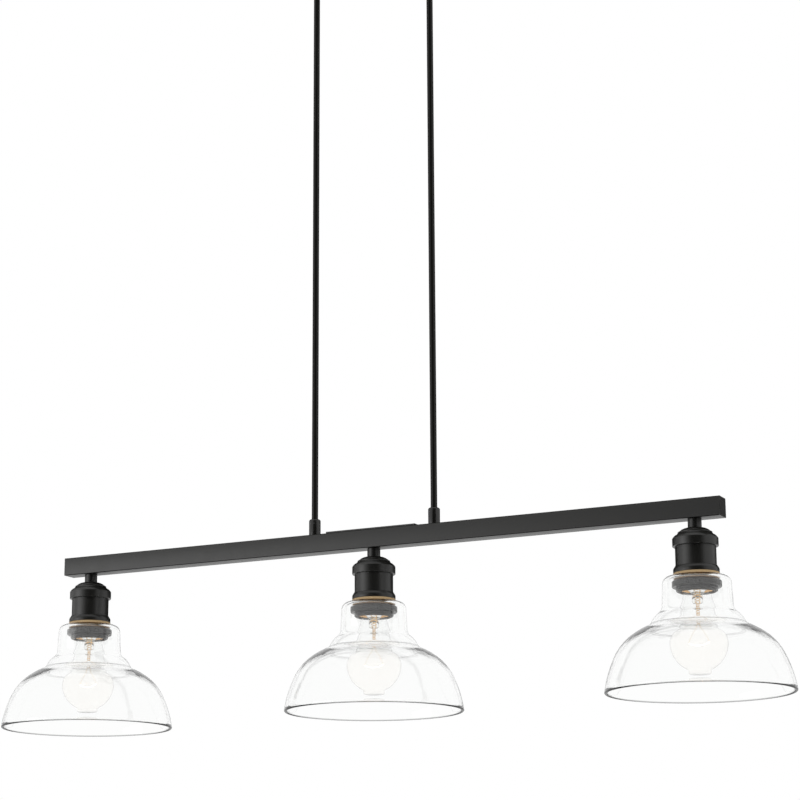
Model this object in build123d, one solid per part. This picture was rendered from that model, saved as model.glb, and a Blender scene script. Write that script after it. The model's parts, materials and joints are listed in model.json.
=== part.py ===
from build123d import *
import os
from math import acos, asin, cos, degrees, radians, sin, sqrt, tan

# Linear island pendant: three clear glass shades under a straight black bar, hung on two
# rods from a rectangular ceiling canopy. Millimetres. The origin is the centre of the
# canopy's top face, where it meets the ceiling, +Z is up and +X runs along the bar.

# --- Layout and fits -------------------------------------------------------------------
lamp_names = ("left", "centre", "right")
lamp_inset = 30.0         # from the bar's end to the axis of the outer lamps
rod_spacing = 144.0
fit_gap = 0.05            # radial gap between fixed pieces that slide together
running_gap = 0.10        # radial gap of a turned thread
free_gap = 0.30           # gap between pieces that move or lie loosely side by side

# --- Hollow M10 thread, and the thin hex nut used on it everywhere ---------------------
thread_radius = 4.95
thread_bore_radius = 3.2
nut_across_flats = 14.0
nut_height = 3.0
thread_end = 1.5          # thread that shows past a nut

# --- Canopy and what it hangs on -------------------------------------------------------
canopy_length = 300.0
canopy_width = 110.0
canopy_height = 24.0
canopy_wall = 1.2
canopy_corner_radius = 8.0
canopy_edge_radius = 3.0
stud_inset = 28.0         # from the canopy's end to the middle of a stud
stud_radius = 2.0
stud_collar_radius = 4.0
stud_collar_height = 2.5
stud_tail = 5.0           # thread that stands below the canopy
cap_nut_radius = 5.5
cap_nut_height = 10.0
strap_end = 9.0           # strap past the middle of a stud
strap_width = 30.0
strap_thickness = 2.0
strap_cable_hole_radius = 11.0
box_slot_spacing = 88.9
box_slot_length = 14.0
box_slot_width = 5.0
ground_screw_offset = 24.0
ground_screw_radius = 2.0
ground_head_radius = 4.0
ground_head_height = 2.4
ground_socket_flats = 3.0

# --- Swivels: a ball on each rod, held in a two-part housing under the canopy ----------
ball_radius = 8.0
ball_stem_radius = 3.6
ball_stem_length = 5.0
swing_limit = 25.0        # degrees each way
swing_margin = 5.0        # degrees left between the stem and the collar's lip
swivel_wall = 2.7         # of the housing and collar, round the ball
swivel_roof = 4.7
collar_wall = 1.35        # of the collar, where it laps over the housing
collar_lap = 3.5
collar_lip = 1.5
swivel_chamfer = 1.2

# --- Rods and their couplings ----------------------------------------------------------
rod_radius = 3.5
rod_wall = 1.0
rod_length = 655.0
rod_grip = 12.0           # depth of a rod in the fitting at its top
top_fitting_height = 18.0
top_fitting_chamfer = 0.8
coupling_radius = 6.3
coupling_height = 18.2
coupling_floor = 5.0      # metal under the rod's lower end
coupling_chamfer = 1.6
set_screw_radius = 2.4
set_screw_drop = 5.0      # from the coupling's top to the middle of its screw
set_screw_recess = 0.3
set_screw_turns = {"left": 0.0, "right": 180.0}  # degrees from the front
hex_socket_flats = 2.5
hex_socket_depth = 1.6

# --- Bar -------------------------------------------------------------------------------
bar_length = 784.0
bar_side = 20.0
bar_wall = 1.2
bar_edge_radius = 1.0
end_cap_thickness = 1.5
end_plug_length = 8.0
cover_end_gap = 12.2      # from a coupling to the cover plate
cover_thickness = 1.5
cover_margin = 0.5        # cover plate narrower than the bar, on each side
cover_screw_inset = 5.5
cover_screw_radius = 1.4
cover_head_radius = 2.6
cover_head_height = 1.2
cover_screw_length = 6.0
access_inset = 6.0        # from a cover screw to the wiring slot
access_width = 12.0

# --- Posts and lamp cups ---------------------------------------------------------------
post_radius = 7.0
post_length = 9.2
cup_radius = 20.65
cup_wall = 1.05
cup_flange = 2.55         # how far the flanges stand out from the cup's body
cup_edge_break = 0.4
dome_height = 6.9         # cap, from its flat top to the foot of its dome
dome_top_radius = 7.4
dome_foot_inset = 4.5     # foot of the dome, in from the flange
dome_bow = 1.7            # how far the dome stands out from its chord
cap_shoulder_height = 4.1
cap_shoulder_bow = 0.55
cap_skirt_height = 7.9
cap_roof = 2.4
cap_ledge = 3.2           # step in the cap that the body's top edge meets
cap_haunch = 6.0          # slope between the cap's side and its roof
cap_haunch_height = 2.0
cap_overlap = 9.3         # how far the cup's body reaches up into the cap's skirt
cup_body_height = 36.3    # from its hidden top edge to the gasket
cup_ledge_out = 0.65
cup_ledge_height = 7.3    # ledge above the gasket
cup_ledge_thickness = 0.6
cup_shoulder_height = 3.2
cup_shoulder_bow = 0.25

# --- Lampholder and gasket -------------------------------------------------------------
sleeve_radius = 19.5
sleeve_wall = 2.5
sleeve_length = 19.6      # threaded sleeve below the cup
sleeve_edge_break = 0.8
mouth_depth = 4.6
holder_height = 30.3      # above the gasket's top face
holder_roof = 8.0
hub_radius = 9.0
hub_height = 8.0
hub_thread = 5.0          # length of the hollow thread in the hub
gasket_thickness = 3.2
gasket_overhang = 0.2     # gasket past the cup's flange

# --- Shade: heights are measured from its rim ------------------------------------------
shade_radius = 95.25
shade_height = 116.6
shade_wall = 2.8
shade_hole_gap = 0.7      # round the lampholder's sleeve
neck_radius = 34.6
neck_foot_radius = 35.6
neck_bend = 7.6           # outer radius of the turn from the neck to its flat top
foot_fillet = 9.3         # hollow curve at the foot of the neck
step_curve = 24.9         # rounded step under the neck
step_centre_radius = 24.4
step_centre_height = 60.1
dome_side_curve = 122.8   # the dome is three arcs in a row: side, shoulder and crown
dome_shoulder_curve = 54.5
dome_crown_curve = 82.5
dome_rim_turn = 8.4       # degrees that the dome leans inward at its rim
dome_side_turn = 25.8     # degrees of lean where the side ends
dome_shoulder_turn = 53.9
dome_thickening = 5.0     # shoulder and crown are tighter inside, so the wall thickens to the step

# --- Ring that clamps the shade --------------------------------------------------------
ring_radius = 25.0
ring_chamfer = 3.0
ring_flange_height = 8.7
ring_collar_wall = 1.3
ring_collar_height = 4.1
ring_notches = 24
ring_notch_radius = 1.1
ring_notch_depth = 0.5

# --- Bulb: heights are measured from the rim of the shade ------------------------------
bulb_radius = 29.1
bulb_centre_height = 49.7
bulb_wall = 0.8
bulb_tip_radius = 11.3
bulb_tip_drop = 2.0       # how far the flat tip stands proud of the sphere
bulb_tip_round = 1.0
bulb_mid_radius = 16.6
bulb_mid_height = 86.0
bulb_foot_height = 103.5
bulb_join_angle = 42.0    # degrees up the sphere, where the neck joins it
cap_thread_radius = 13.05
cap_thread_depth = 0.75
cap_shell = 0.6
cap_skirt_length = 5.0
cap_thread_pitch = 3.6
cap_threads = 4
cap_cone_length = 4.0
cap_contact_radius = 4.8
cap_contact_height = 1.6
cap_contact_break = 0.8
bulb_neck_inset = 0.15    # glass inside the cap's outer radius, at its foot
stem_flare_height = 6.0
stem_radius = 5.5
stem_length = 17.5
stem_round = 3.5
press_radius = 1.7
press_length = 10.0
lead_radius = 0.35
filament_radius = 0.6
filament_height = 51.0
filament_spread = 11.0
filament_sag = 4.0

# --- Contacts and wiring ---------------------------------------------------------------
shell_thickness = 0.6
shell_length = 27.0
shell_flare_drop = 2.8
shell_flare_gap = 0.7     # from the shell's flare to the sleeve
contact_radius = 3.0
contact_thickness = 0.8
contact_leg_radius = 1.2
wire_radius = 0.9
wire_slack = 0.2          # between the supply wires and the rod's bore
lead_pitch = 1.3          # distance of each lamp lead from the post's axis
bend_radius = 5.0
block_length = 26.0
block_height = 12.0
block_side_gap = 1.8
block_offset = 22.0       # from the centre post's axis to the block
wire_nut_radius = 4.6
wire_nut_tip_radius = 2.8
wire_nut_length = 19.0
wire_nut_grip = 6.0
wire_nut_pitch = 13.0
wire_nut_offset = 46.0    # from the middle of the canopy to the mouths of the wire nuts

# --- Sizes worked out from the ones above ----------------------------------------------
lamp_spacing = bar_length / 2 - lamp_inset
rod_bore_radius = rod_radius - rod_wall
stud_spacing = canopy_length - 2 * stud_inset
strap_length = stud_spacing + 2 * strap_end
socket_radius = ball_radius + free_gap
swivel_radius = socket_radius + swivel_wall
lip_angle = radians(swing_limit + swing_margin) + asin(ball_stem_radius / socket_radius)
bar_inside = bar_side - 2 * bar_wall
cover_length = rod_spacing - 2 * coupling_radius - 2 * cover_end_gap
cover_screw_spacing = cover_length - 2 * cover_screw_inset
flange_radius = cup_radius + cup_flange
cup_bore_radius = cup_radius - cup_wall
sleeve_bore_radius = sleeve_radius - sleeve_wall
shade_hole_radius = sleeve_radius + shade_hole_gap
cap_root_radius = cap_thread_radius - cap_thread_depth
shell_bore_radius = cap_thread_radius + running_gap
shell_radius = shell_bore_radius + shell_thickness
bulb_neck_radius = cap_thread_radius - bulb_neck_inset
supply_pitch = rod_bore_radius - wire_radius - wire_slack

# --- Heights worked out from the ceiling down ------------------------------------------
z_canopy_base = -canopy_height
z_canopy_floor = z_canopy_base + canopy_wall
z_ball = z_canopy_base - swivel_roof - socket_radius
z_fitting_top = z_ball - ball_radius - ball_stem_length
z_fitting_base = z_fitting_top - top_fitting_height
z_rod_top = z_fitting_base + rod_grip
z_rod_base = z_rod_top - rod_length
z_bar_top = z_rod_base - coupling_floor
z_bar_roof = z_bar_top - bar_wall
z_bar_base = z_bar_top - bar_side
z_bar_floor = z_bar_base + bar_wall
z_coupling_top = z_bar_top + coupling_height
z_set_screw = z_coupling_top - set_screw_drop
z_cup_top = z_bar_base - post_length
z_cap_ceiling = z_cup_top - cap_roof
z_skirt_base = z_cup_top - dome_height - cap_shoulder_height - cap_skirt_height
z_body_top = z_skirt_base + cap_overlap
z_gasket_top = z_body_top - cup_body_height
z_shade_top = z_gasket_top - gasket_thickness
z_shade_roof = z_shade_top - shade_wall
z_rim = z_shade_top - shade_height
z_sleeve_base = z_gasket_top - sleeve_length
z_shell_base = z_sleeve_base + mouth_depth
z_holder_top = z_gasket_top + holder_height
z_hub_top = z_holder_top + hub_height
z_bulb_foot = z_rim + bulb_foot_height
z_bulb_cone = z_bulb_foot + cap_skirt_length + cap_threads * cap_thread_pitch
z_bulb_top = z_bulb_cone + cap_cone_length + cap_contact_height
z_thread_top = z_bar_floor + nut_height + thread_end
z_side_run = z_thread_top + 2 * wire_radius
z_middle_run = z_side_run + 2 * wire_radius + free_gap
z_canopy_run = -strap_thickness - wire_nut_radius - supply_pitch - free_gap

lamp_places = dict(zip(lamp_names, (-lamp_spacing, 0.0, lamp_spacing)))
rod_places = {"left": -rod_spacing / 2, "right": rod_spacing / 2}
stud_places = (-stud_spacing / 2, stud_spacing / 2)
cover_screw_places = (-cover_screw_spacing / 2, cover_screw_spacing / 2)


# --- Small helpers ---------------------------------------------------------------------
def at(radius, height):
    """A point of an outline that is turned about Z."""
    return Vector(radius, 0, height)


def bowed(start, end, bow):
    """An arc that stands out from its chord by bow, to the left of the way along it."""
    along = (end - start).normalized()
    left = Vector(-along.Z, 0, along.X)
    return ThreePointArc(start, (start + end) / 2 + left * bow, end)


def arc_about(centre, radius, first, last):
    """An arc round a point of the outline, between two angles in degrees from +X."""
    angles = [radians(turn) for turn in (first, (first + last) / 2, last)]
    return ThreePointArc(*[centre + Vector(radius * cos(turn), 0, radius * sin(turn))
                           for turn in angles])


def turned(*edges):
    """The solid that a closed outline of edges sweeps about Z."""
    return revolve(make_face(edges), Axis.Z)


def turned_polygon(*points):
    """The solid that a closed outline of straight lines sweeps about Z."""
    return turned(Polyline(*[at(*point) for point in points], close=True))


def pin(radius, z_low, z_high):
    """A cylinder on Z."""
    height = z_high - z_low
    return Pos(0, 0, z_low + height / 2) * Cylinder(radius, height)


def tube(radius, bore, z_low, z_high):
    """A hollow cylinder on Z."""
    return pin(radius, z_low, z_high) - pin(bore, z_low, z_high)


def hex_prism(across_flats, z_low, z_high):
    """A hexagonal prism on Z, with two of its flats facing along Y."""
    outline = RegularPolygon(across_flats / 2, 6, major_radius=False)
    return Pos(0, 0, z_low) * extrude(outline, z_high - z_low)


def hollow_thread(z_low, z_high):
    """A length of the hollow thread."""
    return tube(thread_radius, thread_bore_radius, z_low, z_high)


def thin_nut(z_low):
    """The thin hex nut on Z, with its clearance to the thread."""
    hole = pin(thread_radius + fit_gap, z_low, z_low + nut_height)
    return hex_prism(nut_across_flats, z_low, z_low + nut_height) - hole


def group(solids):
    """Separate solids of one kind as one node."""
    return Compound(children=[solid for part in solids for solid in part.solids()])


def repeated(piece, places):
    """The same piece at several places along X, as one node."""
    return group([Pos(x, 0, 0) * piece for x in places])


def drilled(body, places, radius, z_low, z_high):
    """The body with a round hole along Z at each place along X."""
    for x in places:
        body -= Pos(x, 0, 0) * pin(radius, z_low, z_high)
    return body


def wire(points, bend=bend_radius):
    """A round wire along straight runs joined by arcs."""
    path = FilletPolyline(*points, radius=bend)
    return sweep(Plane(origin=path @ 0, z_dir=path % 0) * Circle(wire_radius), path=path)


def supply_places():
    """Places of the three supply wires round the axis of the bore that they share."""
    turns = [radians(90 + 120 * index) for index in range(3)]
    return [(supply_pitch * cos(turn), supply_pitch * sin(turn)) for turn in turns]


# --- Ceiling side ----------------------------------------------------------------------
def canopy():
    """Pressed rectangular pan, open at the top, with holes for the swivels and studs."""
    pan = extrude(RectangleRounded(canopy_length, canopy_width, canopy_corner_radius),
                  z_canopy_base)
    pan = fillet(pan.faces().sort_by(Axis.Z)[0].edges(), canopy_edge_radius)
    hollow = extrude(RectangleRounded(canopy_length - 2 * canopy_wall,
                                      canopy_width - 2 * canopy_wall,
                                      canopy_corner_radius - canopy_wall), z_canopy_floor)
    hollow = fillet(hollow.faces().sort_by(Axis.Z)[0].edges(),
                    canopy_edge_radius - canopy_wall)
    pan -= hollow
    pan = drilled(pan, rod_places.values(), thread_radius + fit_gap, z_canopy_base, 0)
    return drilled(pan, stud_places, stud_radius + free_gap, z_canopy_base, 0)


def mounting_strap():
    """Flat steel strap that is screwed to the ceiling box and carries the studs."""
    strap = extrude(RectangleRounded(strap_length, strap_width, canopy_wall),
                    -strap_thickness)
    strap -= pin(strap_cable_hole_radius, -strap_thickness, 0)
    for side in (-1, 1):
        slot = extrude(SlotOverall(box_slot_length, box_slot_width), -strap_thickness)
        strap -= Pos(side * box_slot_spacing / 2, 0, 0) * slot
    strap = drilled(strap, stud_places, stud_radius + fit_gap, -strap_thickness, 0)
    return drilled(strap, [ground_screw_offset], ground_screw_radius + fit_gap,
                   -strap_thickness, 0)


def canopy_studs():
    """Screws that hang from the strap and pass down through the canopy."""
    collar_base = -strap_thickness - stud_collar_height
    stud = pin(stud_radius, z_canopy_base - stud_tail, 0)
    stud += pin(stud_collar_radius, collar_base, -strap_thickness)
    return repeated(stud, stud_places)


def cap_nuts():
    """Domed nuts that hold the canopy up against the ceiling."""
    z_round = z_canopy_base - cap_nut_height + cap_nut_radius
    nut = pin(cap_nut_radius, z_round, z_canopy_base)
    nut += Pos(0, 0, z_round) * Sphere(cap_nut_radius)
    nut -= pin(cap_nut_radius, z_canopy_base, z_canopy_base + cap_nut_radius)
    nut -= pin(stud_radius + fit_gap, z_canopy_base - stud_tail, z_canopy_base)
    return repeated(nut, stud_places)


def ground_screw():
    """Screw in the strap for the earth wire."""
    head_base = -strap_thickness - ground_head_height
    screw = pin(ground_head_radius, head_base, -strap_thickness)
    screw += pin(ground_screw_radius, -strap_thickness, 0)
    screw -= hex_prism(ground_socket_flats, head_base, head_base + ground_head_height / 2)
    return Pos(ground_screw_offset, 0, 0) * screw


# --- Swivels ---------------------------------------------------------------------------
def swivel_housings():
    """Upper parts of the ball sockets, with the thread that goes up into the canopy."""
    thread_top = z_canopy_floor + nut_height + thread_end
    lap_top = z_ball + collar_lap
    housing = pin(swivel_radius, lap_top, z_canopy_base)
    housing += pin(swivel_radius - collar_wall - fit_gap, z_ball, lap_top)
    housing += pin(thread_radius, z_canopy_base, thread_top)
    housing -= Pos(0, 0, z_ball) * Sphere(socket_radius)
    housing -= pin(thread_bore_radius, z_ball, thread_top)
    return repeated(housing, rod_places.values())


def swivel_collars():
    """Lower parts of the ball sockets: screwed-on collars that keep the balls in."""
    lip_radius = socket_radius * sin(lip_angle)
    z_lip = z_ball - socket_radius * cos(lip_angle)
    base = z_lip - collar_lip
    lap_bore = swivel_radius - collar_wall
    collar = turned_polygon(
        (0, z_ball), (lap_bore, z_ball), (lap_bore, z_ball + collar_lap),
        (swivel_radius, z_ball + collar_lap), (swivel_radius, base + swivel_chamfer),
        (swivel_radius - swivel_chamfer, base),
        (lip_radius + collar_lip * tan(lip_angle), base), (lip_radius, z_lip), (0, z_lip))
    collar -= Pos(0, 0, z_ball) * Sphere(socket_radius)
    return repeated(collar, rod_places.values())


def swivel_nuts():
    """Nuts that hold the swivels in the canopy."""
    return repeated(thin_nut(z_canopy_floor), rod_places.values())


def swivel_balls():
    """Balls with the fittings that take the upper ends of the rods."""
    fitting = pin(coupling_radius, z_fitting_base, z_fitting_top)
    fitting = chamfer(fitting.edges().filter_by(GeomType.CIRCLE), top_fitting_chamfer)
    ball = Pos(0, 0, z_ball) * Sphere(ball_radius)
    ball += pin(ball_stem_radius, z_fitting_top, z_ball) + fitting
    ball -= pin(rod_bore_radius, z_fitting_base, z_ball + ball_radius)
    ball -= pin(rod_radius + fit_gap, z_fitting_base, z_rod_top)
    return repeated(ball, rod_places.values())


# --- Rods and couplings ----------------------------------------------------------------
def rod(x):
    """Hanging tube."""
    return Pos(x, 0, 0) * tube(rod_radius, rod_bore_radius, z_rod_base, z_rod_top)


def coupling(x, screw_turn):
    """Collar on the bar that takes a rod, with a threaded spigot down into the bar."""
    spigot_base = z_bar_roof - nut_height - thread_end
    body = pin(coupling_radius, z_bar_top, z_coupling_top)
    body = chamfer(body.edges().group_by(Axis.Z)[-1], coupling_chamfer)
    body += pin(thread_radius, spigot_base, z_bar_top)
    body -= pin(rod_radius + fit_gap, z_rod_base, z_coupling_top)
    body -= pin(rod_bore_radius, spigot_base, z_rod_base)
    hole = Rot(90, 0, 0) * pin(set_screw_radius + fit_gap, 0, coupling_radius)
    body -= Pos(0, 0, z_set_screw) * Rot(0, 0, screw_turn) * hole
    return Pos(x, 0, 0) * body


def coupling_set_screws():
    """Socket set screws that grip the rods."""
    outer = coupling_radius - set_screw_recess
    screw = pin(set_screw_radius, rod_radius + fit_gap, outer)
    screw -= hex_prism(hex_socket_flats, outer - hex_socket_depth, outer)
    screw = Rot(90, 0, 0) * screw
    return group([Pos(x, 0, z_set_screw) * Rot(0, 0, turn) * screw
                  for x, turn in zip(rod_places.values(), set_screw_turns.values())])


# --- Bar -------------------------------------------------------------------------------
def square_bar(side, length, edge_radius):
    """A square bar along X at the bar's height, with its long edges rounded."""
    outline = RectangleRounded(side, side, edge_radius)
    bar = Rot(0, 90, 0) * extrude(outline, length / 2, both=True)
    return Pos(0, 0, (z_bar_top + z_bar_base) / 2) * bar


def bar_tube():
    """Square tube with holes for the couplings and posts and a slot for the wiring."""
    length = bar_length - 2 * end_cap_thickness
    body = square_bar(bar_side, length, bar_edge_radius)
    body -= square_bar(bar_inside, length, bar_edge_radius / 2)
    hole = thread_radius + fit_gap
    body = drilled(body, rod_places.values(), hole, z_bar_roof, z_bar_top)
    body = drilled(body, lamp_places.values(), hole, z_bar_base, z_bar_floor)
    body = drilled(body, cover_screw_places, cover_screw_radius + fit_gap, z_bar_roof,
                   z_bar_top)
    slot = SlotOverall(cover_screw_spacing - 2 * access_inset, access_width)
    return body - Pos(0, 0, z_bar_top) * extrude(slot, -bar_wall)


def bar_end_caps():
    """Plates that close the bar's ends, each with a plug that fits inside the tube."""
    plate = square_bar(bar_side, end_cap_thickness, bar_edge_radius)
    plug = square_bar(bar_inside - 2 * fit_gap, end_plug_length, bar_edge_radius / 2)
    cap = plate + Pos(-(end_cap_thickness + end_plug_length) / 2, 0, 0) * plug
    right = Pos((bar_length - end_cap_thickness) / 2, 0, 0) * cap
    return group([right, Rot(0, 0, 180) * right])


def countersunk(gap):
    """A flat-headed screw let into the cover plate, or its hole with a gap all round."""
    top = z_bar_top + cover_thickness
    head = cover_head_radius + gap
    shank = cover_screw_radius + gap
    return turned_polygon((0, top), (head, top), (shank, top - cover_head_height),
                          (shank, top - cover_screw_length),
                          (0, top - cover_screw_length))


def cover_plate():
    """Thin plate over the wiring slot, between the couplings."""
    outline = RectangleRounded(cover_length, bar_side - 2 * cover_margin,
                               bar_edge_radius / 2)
    plate = Pos(0, 0, z_bar_top) * extrude(outline, cover_thickness)
    for x in cover_screw_places:
        plate -= Pos(x, 0, 0) * countersunk(fit_gap)
    return plate


def cover_screws():
    """The two screws of the cover plate."""
    return repeated(countersunk(0), cover_screw_places)


# --- Posts, threads and nuts -----------------------------------------------------------
def post(x):
    """Plain sleeve over the thread, between the bar and the cup."""
    return Pos(x, 0, 0) * tube(post_radius, thread_radius + fit_gap, z_cup_top, z_bar_base)


def lamp_threads():
    """Hollow threads that tie each cup and its lampholder to the bar."""
    return repeated(hollow_thread(z_hub_top - hub_thread, z_thread_top),
                    lamp_places.values())


def thread_nuts():
    """Nuts on the lamp threads, in the bar and in the cups, and on the couplings."""
    in_bar = repeated(thin_nut(z_bar_floor), lamp_places.values())
    in_cups = repeated(thin_nut(z_cap_ceiling - nut_height), lamp_places.values())
    under_couplings = repeated(thin_nut(z_bar_roof - nut_height), rod_places.values())
    return group([in_bar, in_cups, under_couplings])


# --- Cups ------------------------------------------------------------------------------
def cup_cap(x):
    """Upper half of the cup: a domed top with a skirt that overhangs the body."""
    dome_foot = at(flange_radius - dome_foot_inset, z_cup_top - dome_height)
    shoulder = at(flange_radius, dome_foot.Z - cap_shoulder_height)
    dome_top = at(dome_top_radius, z_cup_top)
    hole = thread_radius + fit_gap
    side = cup_radius - cap_ledge
    inside = Polyline(
        shoulder, at(flange_radius, z_skirt_base + cup_edge_break),
        at(flange_radius - cup_edge_break, z_skirt_base),
        at(cup_radius + fit_gap, z_skirt_base), at(cup_radius + fit_gap, z_body_top),
        at(side, z_body_top), at(side, z_cap_ceiling - cap_haunch_height),
        at(side - cap_haunch, z_cap_ceiling), at(hole, z_cap_ceiling),
        at(hole, z_cup_top), dome_top)
    return Pos(x, 0, 0) * turned(bowed(dome_top, dome_foot, dome_bow),
                                 bowed(dome_foot, shoulder, cap_shoulder_bow), inside)


def cup_body(x):
    """Lower half of the cup: a plain tube with a rounded flange that meets the gasket."""
    ledge = z_gasket_top + cup_ledge_height
    ledge_edge = at(cup_radius + cup_ledge_out, ledge - cup_ledge_thickness)
    flange = at(flange_radius, ledge_edge.Z - cup_shoulder_height)
    rest = Polyline(
        flange, at(flange_radius, z_gasket_top + cup_edge_break),
        at(flange_radius - cup_edge_break, z_gasket_top),
        at(cup_bore_radius, z_gasket_top), at(cup_bore_radius, z_body_top),
        at(cup_radius, z_body_top), at(cup_radius, ledge),
        at(cup_radius + cup_ledge_out, ledge), ledge_edge)
    return Pos(x, 0, 0) * turned(bowed(ledge_edge, flange, cup_shoulder_bow), rest)


def shade_gaskets():
    """Flat washers between the cups and the glass."""
    washer = tube(flange_radius + gasket_overhang, sleeve_radius + free_gap, z_shade_top,
                  z_gasket_top)
    return repeated(washer, lamp_places.values())


# --- Lampholders -----------------------------------------------------------------------
def lampholder(x):
    """Moulded holder: threaded sleeve below, body in the cup, hub on the thread."""
    body = cup_bore_radius - free_gap
    bore = shell_radius + fit_gap
    hub_bore = thread_radius + fit_gap
    roof = z_holder_top - holder_roof
    holder = turned_polygon(
        (sleeve_bore_radius, z_sleeve_base),
        (sleeve_radius - sleeve_edge_break, z_sleeve_base),
        (sleeve_radius, z_sleeve_base + sleeve_edge_break), (sleeve_radius, z_gasket_top),
        (body, z_gasket_top), (body, z_holder_top), (hub_radius, z_holder_top),
        (hub_radius, z_hub_top), (hub_bore, z_hub_top), (hub_bore, z_holder_top),
        (0, z_holder_top), (0, roof), (bore, roof), (bore, z_shell_base),
        (sleeve_bore_radius, z_shell_base))
    return Pos(x, 0, 0) * holder


def screw_shell(x):
    """Thin metal shell that the bulb screws into, flared at its mouth."""
    flare = sleeve_bore_radius - shell_flare_gap
    z_flare = z_shell_base - shell_flare_drop
    shell = turned_polygon(
        (shell_bore_radius, z_shell_base + shell_length),
        (shell_radius, z_shell_base + shell_length), (shell_radius, z_shell_base),
        (flare, z_flare), (flare - shell_thickness, z_flare),
        (shell_bore_radius, z_shell_base))
    return Pos(x, 0, 0) * shell


def centre_contacts():
    """Spring contacts in the roofs of the lampholders, on the tips of the bulbs."""
    contact = pin(contact_radius, z_bulb_top, z_bulb_top + contact_thickness)
    contact += pin(contact_leg_radius, z_bulb_top, z_holder_top - holder_roof)
    return repeated(contact, lamp_places.values())


# --- Shade -----------------------------------------------------------------------------
def neck_region(inset):
    """Half section of the neck and the step below it, moved inward by inset."""
    top = z_shade_top - inset
    bend_centre = at(neck_radius - neck_bend, z_shade_top - neck_bend)
    step_centre = at(step_centre_radius, z_rim + step_centre_height)
    foot_radius = neck_foot_radius + foot_fillet
    reach = step_curve + foot_fillet
    lean = acos((foot_radius - step_centre_radius) / reach)
    foot_centre = at(foot_radius, step_centre.Z + reach * sin(lean))
    bend = arc_about(bend_centre, neck_bend - inset, 90, 0)
    foot = arc_about(foot_centre, foot_fillet + inset, 180, 180 + degrees(lean))
    step = arc_about(step_centre, step_curve - inset, degrees(lean), 0)
    base = z_rim + shade_wall / 2
    inside = Polyline(step @ 1, at((step @ 1).X, base), at(0, base), at(0, top), bend @ 0)
    return make_face([bend, Line(bend @ 1, foot @ 0), foot, step, inside])


def rim_centre():
    """Middle of the wall at the rim, which the rim is rounded about."""
    return at(shade_radius - shade_wall / 2, z_rim + shade_wall / 2)


def outward(turn):
    """Direction of a line that rises by an angle in degrees, away from the axis."""
    return Vector(cos(radians(turn)), 0, sin(radians(turn)))


def dome_region(inset, thickening):
    """Half section of the dome, moved inward by inset and by a thickening towards its top."""
    curves = (dome_side_curve, dome_shoulder_curve - thickening, dome_crown_curve - thickening)
    turns = (dome_rim_turn, dome_side_turn, dome_shoulder_turn, 90)
    centre = rim_centre() + outward(dome_rim_turn) * (shade_wall / 2 - dome_side_curve)
    arcs = []
    for index, curve in enumerate(curves):
        if index:
            centre += outward(turns[index]) * (curves[index - 1] - curve)
        arcs.append(arc_about(centre, curve - inset, turns[index + 1], turns[index]))
    top, edge = arcs[-1] @ 0, arcs[0] @ 1
    foot = at(0, edge.Z - edge.X * tan(radians(dome_rim_turn)))
    return make_face([*arcs, Polyline(edge, foot, at(0, top.Z), top)])


def shade(x):
    """Blown glass: flat top, cylindrical neck, rounded step and a wide dome."""
    section = neck_region(0) + dome_region(0, 0)
    section -= neck_region(shade_wall) + dome_region(shade_wall, dome_thickening)
    section -= make_face(Polyline(at(0, z_shade_roof), at(shade_hole_radius, z_shade_roof),
                                  at(shade_hole_radius, z_shade_top), at(0, z_shade_top),
                                  close=True))
    rim = arc_about(rim_centre(), shade_wall / 2, dome_rim_turn, dome_rim_turn - 180)
    section += make_face([rim, Line(rim @ 1, rim @ 0)])
    return Pos(x, 0, 0) * revolve(section, Axis.Z)


def shade_ring(x):
    """Threaded ring that clamps the shade up against the gasket."""
    top = z_shade_roof
    waist = top - ring_flange_height
    base = waist - ring_collar_height
    bore = sleeve_radius + running_gap
    collar = bore + ring_collar_wall
    ring = turned_polygon((bore, top), (ring_radius - ring_chamfer, top),
                          (ring_radius, top - ring_chamfer), (ring_radius, waist),
                          (collar, waist), (collar, base), (bore, base))
    notch = Pos(ring_radius + ring_notch_radius - ring_notch_depth, 0, 0) * pin(
        ring_notch_radius, waist, top)
    for index in range(ring_notches):
        ring -= Rot(0, 0, 360 * index / ring_notches) * notch
    return Pos(x, 0, 0) * ring


# --- Bulb ------------------------------------------------------------------------------
def bulb_outline(inset):
    """The bulb's outline from its foot down to the middle of its tip, moved inward."""
    centre = z_rim + bulb_centre_height
    radius = bulb_radius - inset
    join = radians(bulb_join_angle)
    tip_radius = bulb_tip_radius - inset
    tip_base = centre - bulb_radius - bulb_tip_drop + inset
    foot = at(bulb_neck_radius - inset, z_bulb_foot)
    neck = Spline(foot, at(bulb_mid_radius - inset, z_rim + bulb_mid_height),
                  at(radius * cos(join), centre + radius * sin(join)),
                  tangents=[(bulb_mid_radius - bulb_neck_radius, 0,
                             bulb_mid_height - bulb_foot_height),
                            (sin(join), 0, -cos(join))])
    tip_edge = at(tip_radius, centre - sqrt(radius ** 2 - tip_radius ** 2))
    ball = ThreePointArc(neck @ 1, at(radius, centre), tip_edge)
    rounding = arc_about(at(tip_radius - bulb_tip_round, tip_base + bulb_tip_round),
                         bulb_tip_round, 0, -90)
    return [neck, ball, Line(ball @ 1, rounding @ 0), rounding,
            Line(rounding @ 1, at(0, tip_base))]


def bulb_glass(x):
    """Clear glass envelope, open at the foot, with a shallow flat tip."""
    outer, inner = bulb_outline(0), bulb_outline(bulb_wall)
    foot = Line(outer[0] @ 0, inner[0] @ 0)
    tip = Line(outer[-1] @ 1, inner[-1] @ 1)
    return Pos(x, 0, 0) * turned(*outer, tip, *inner, foot)


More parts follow.
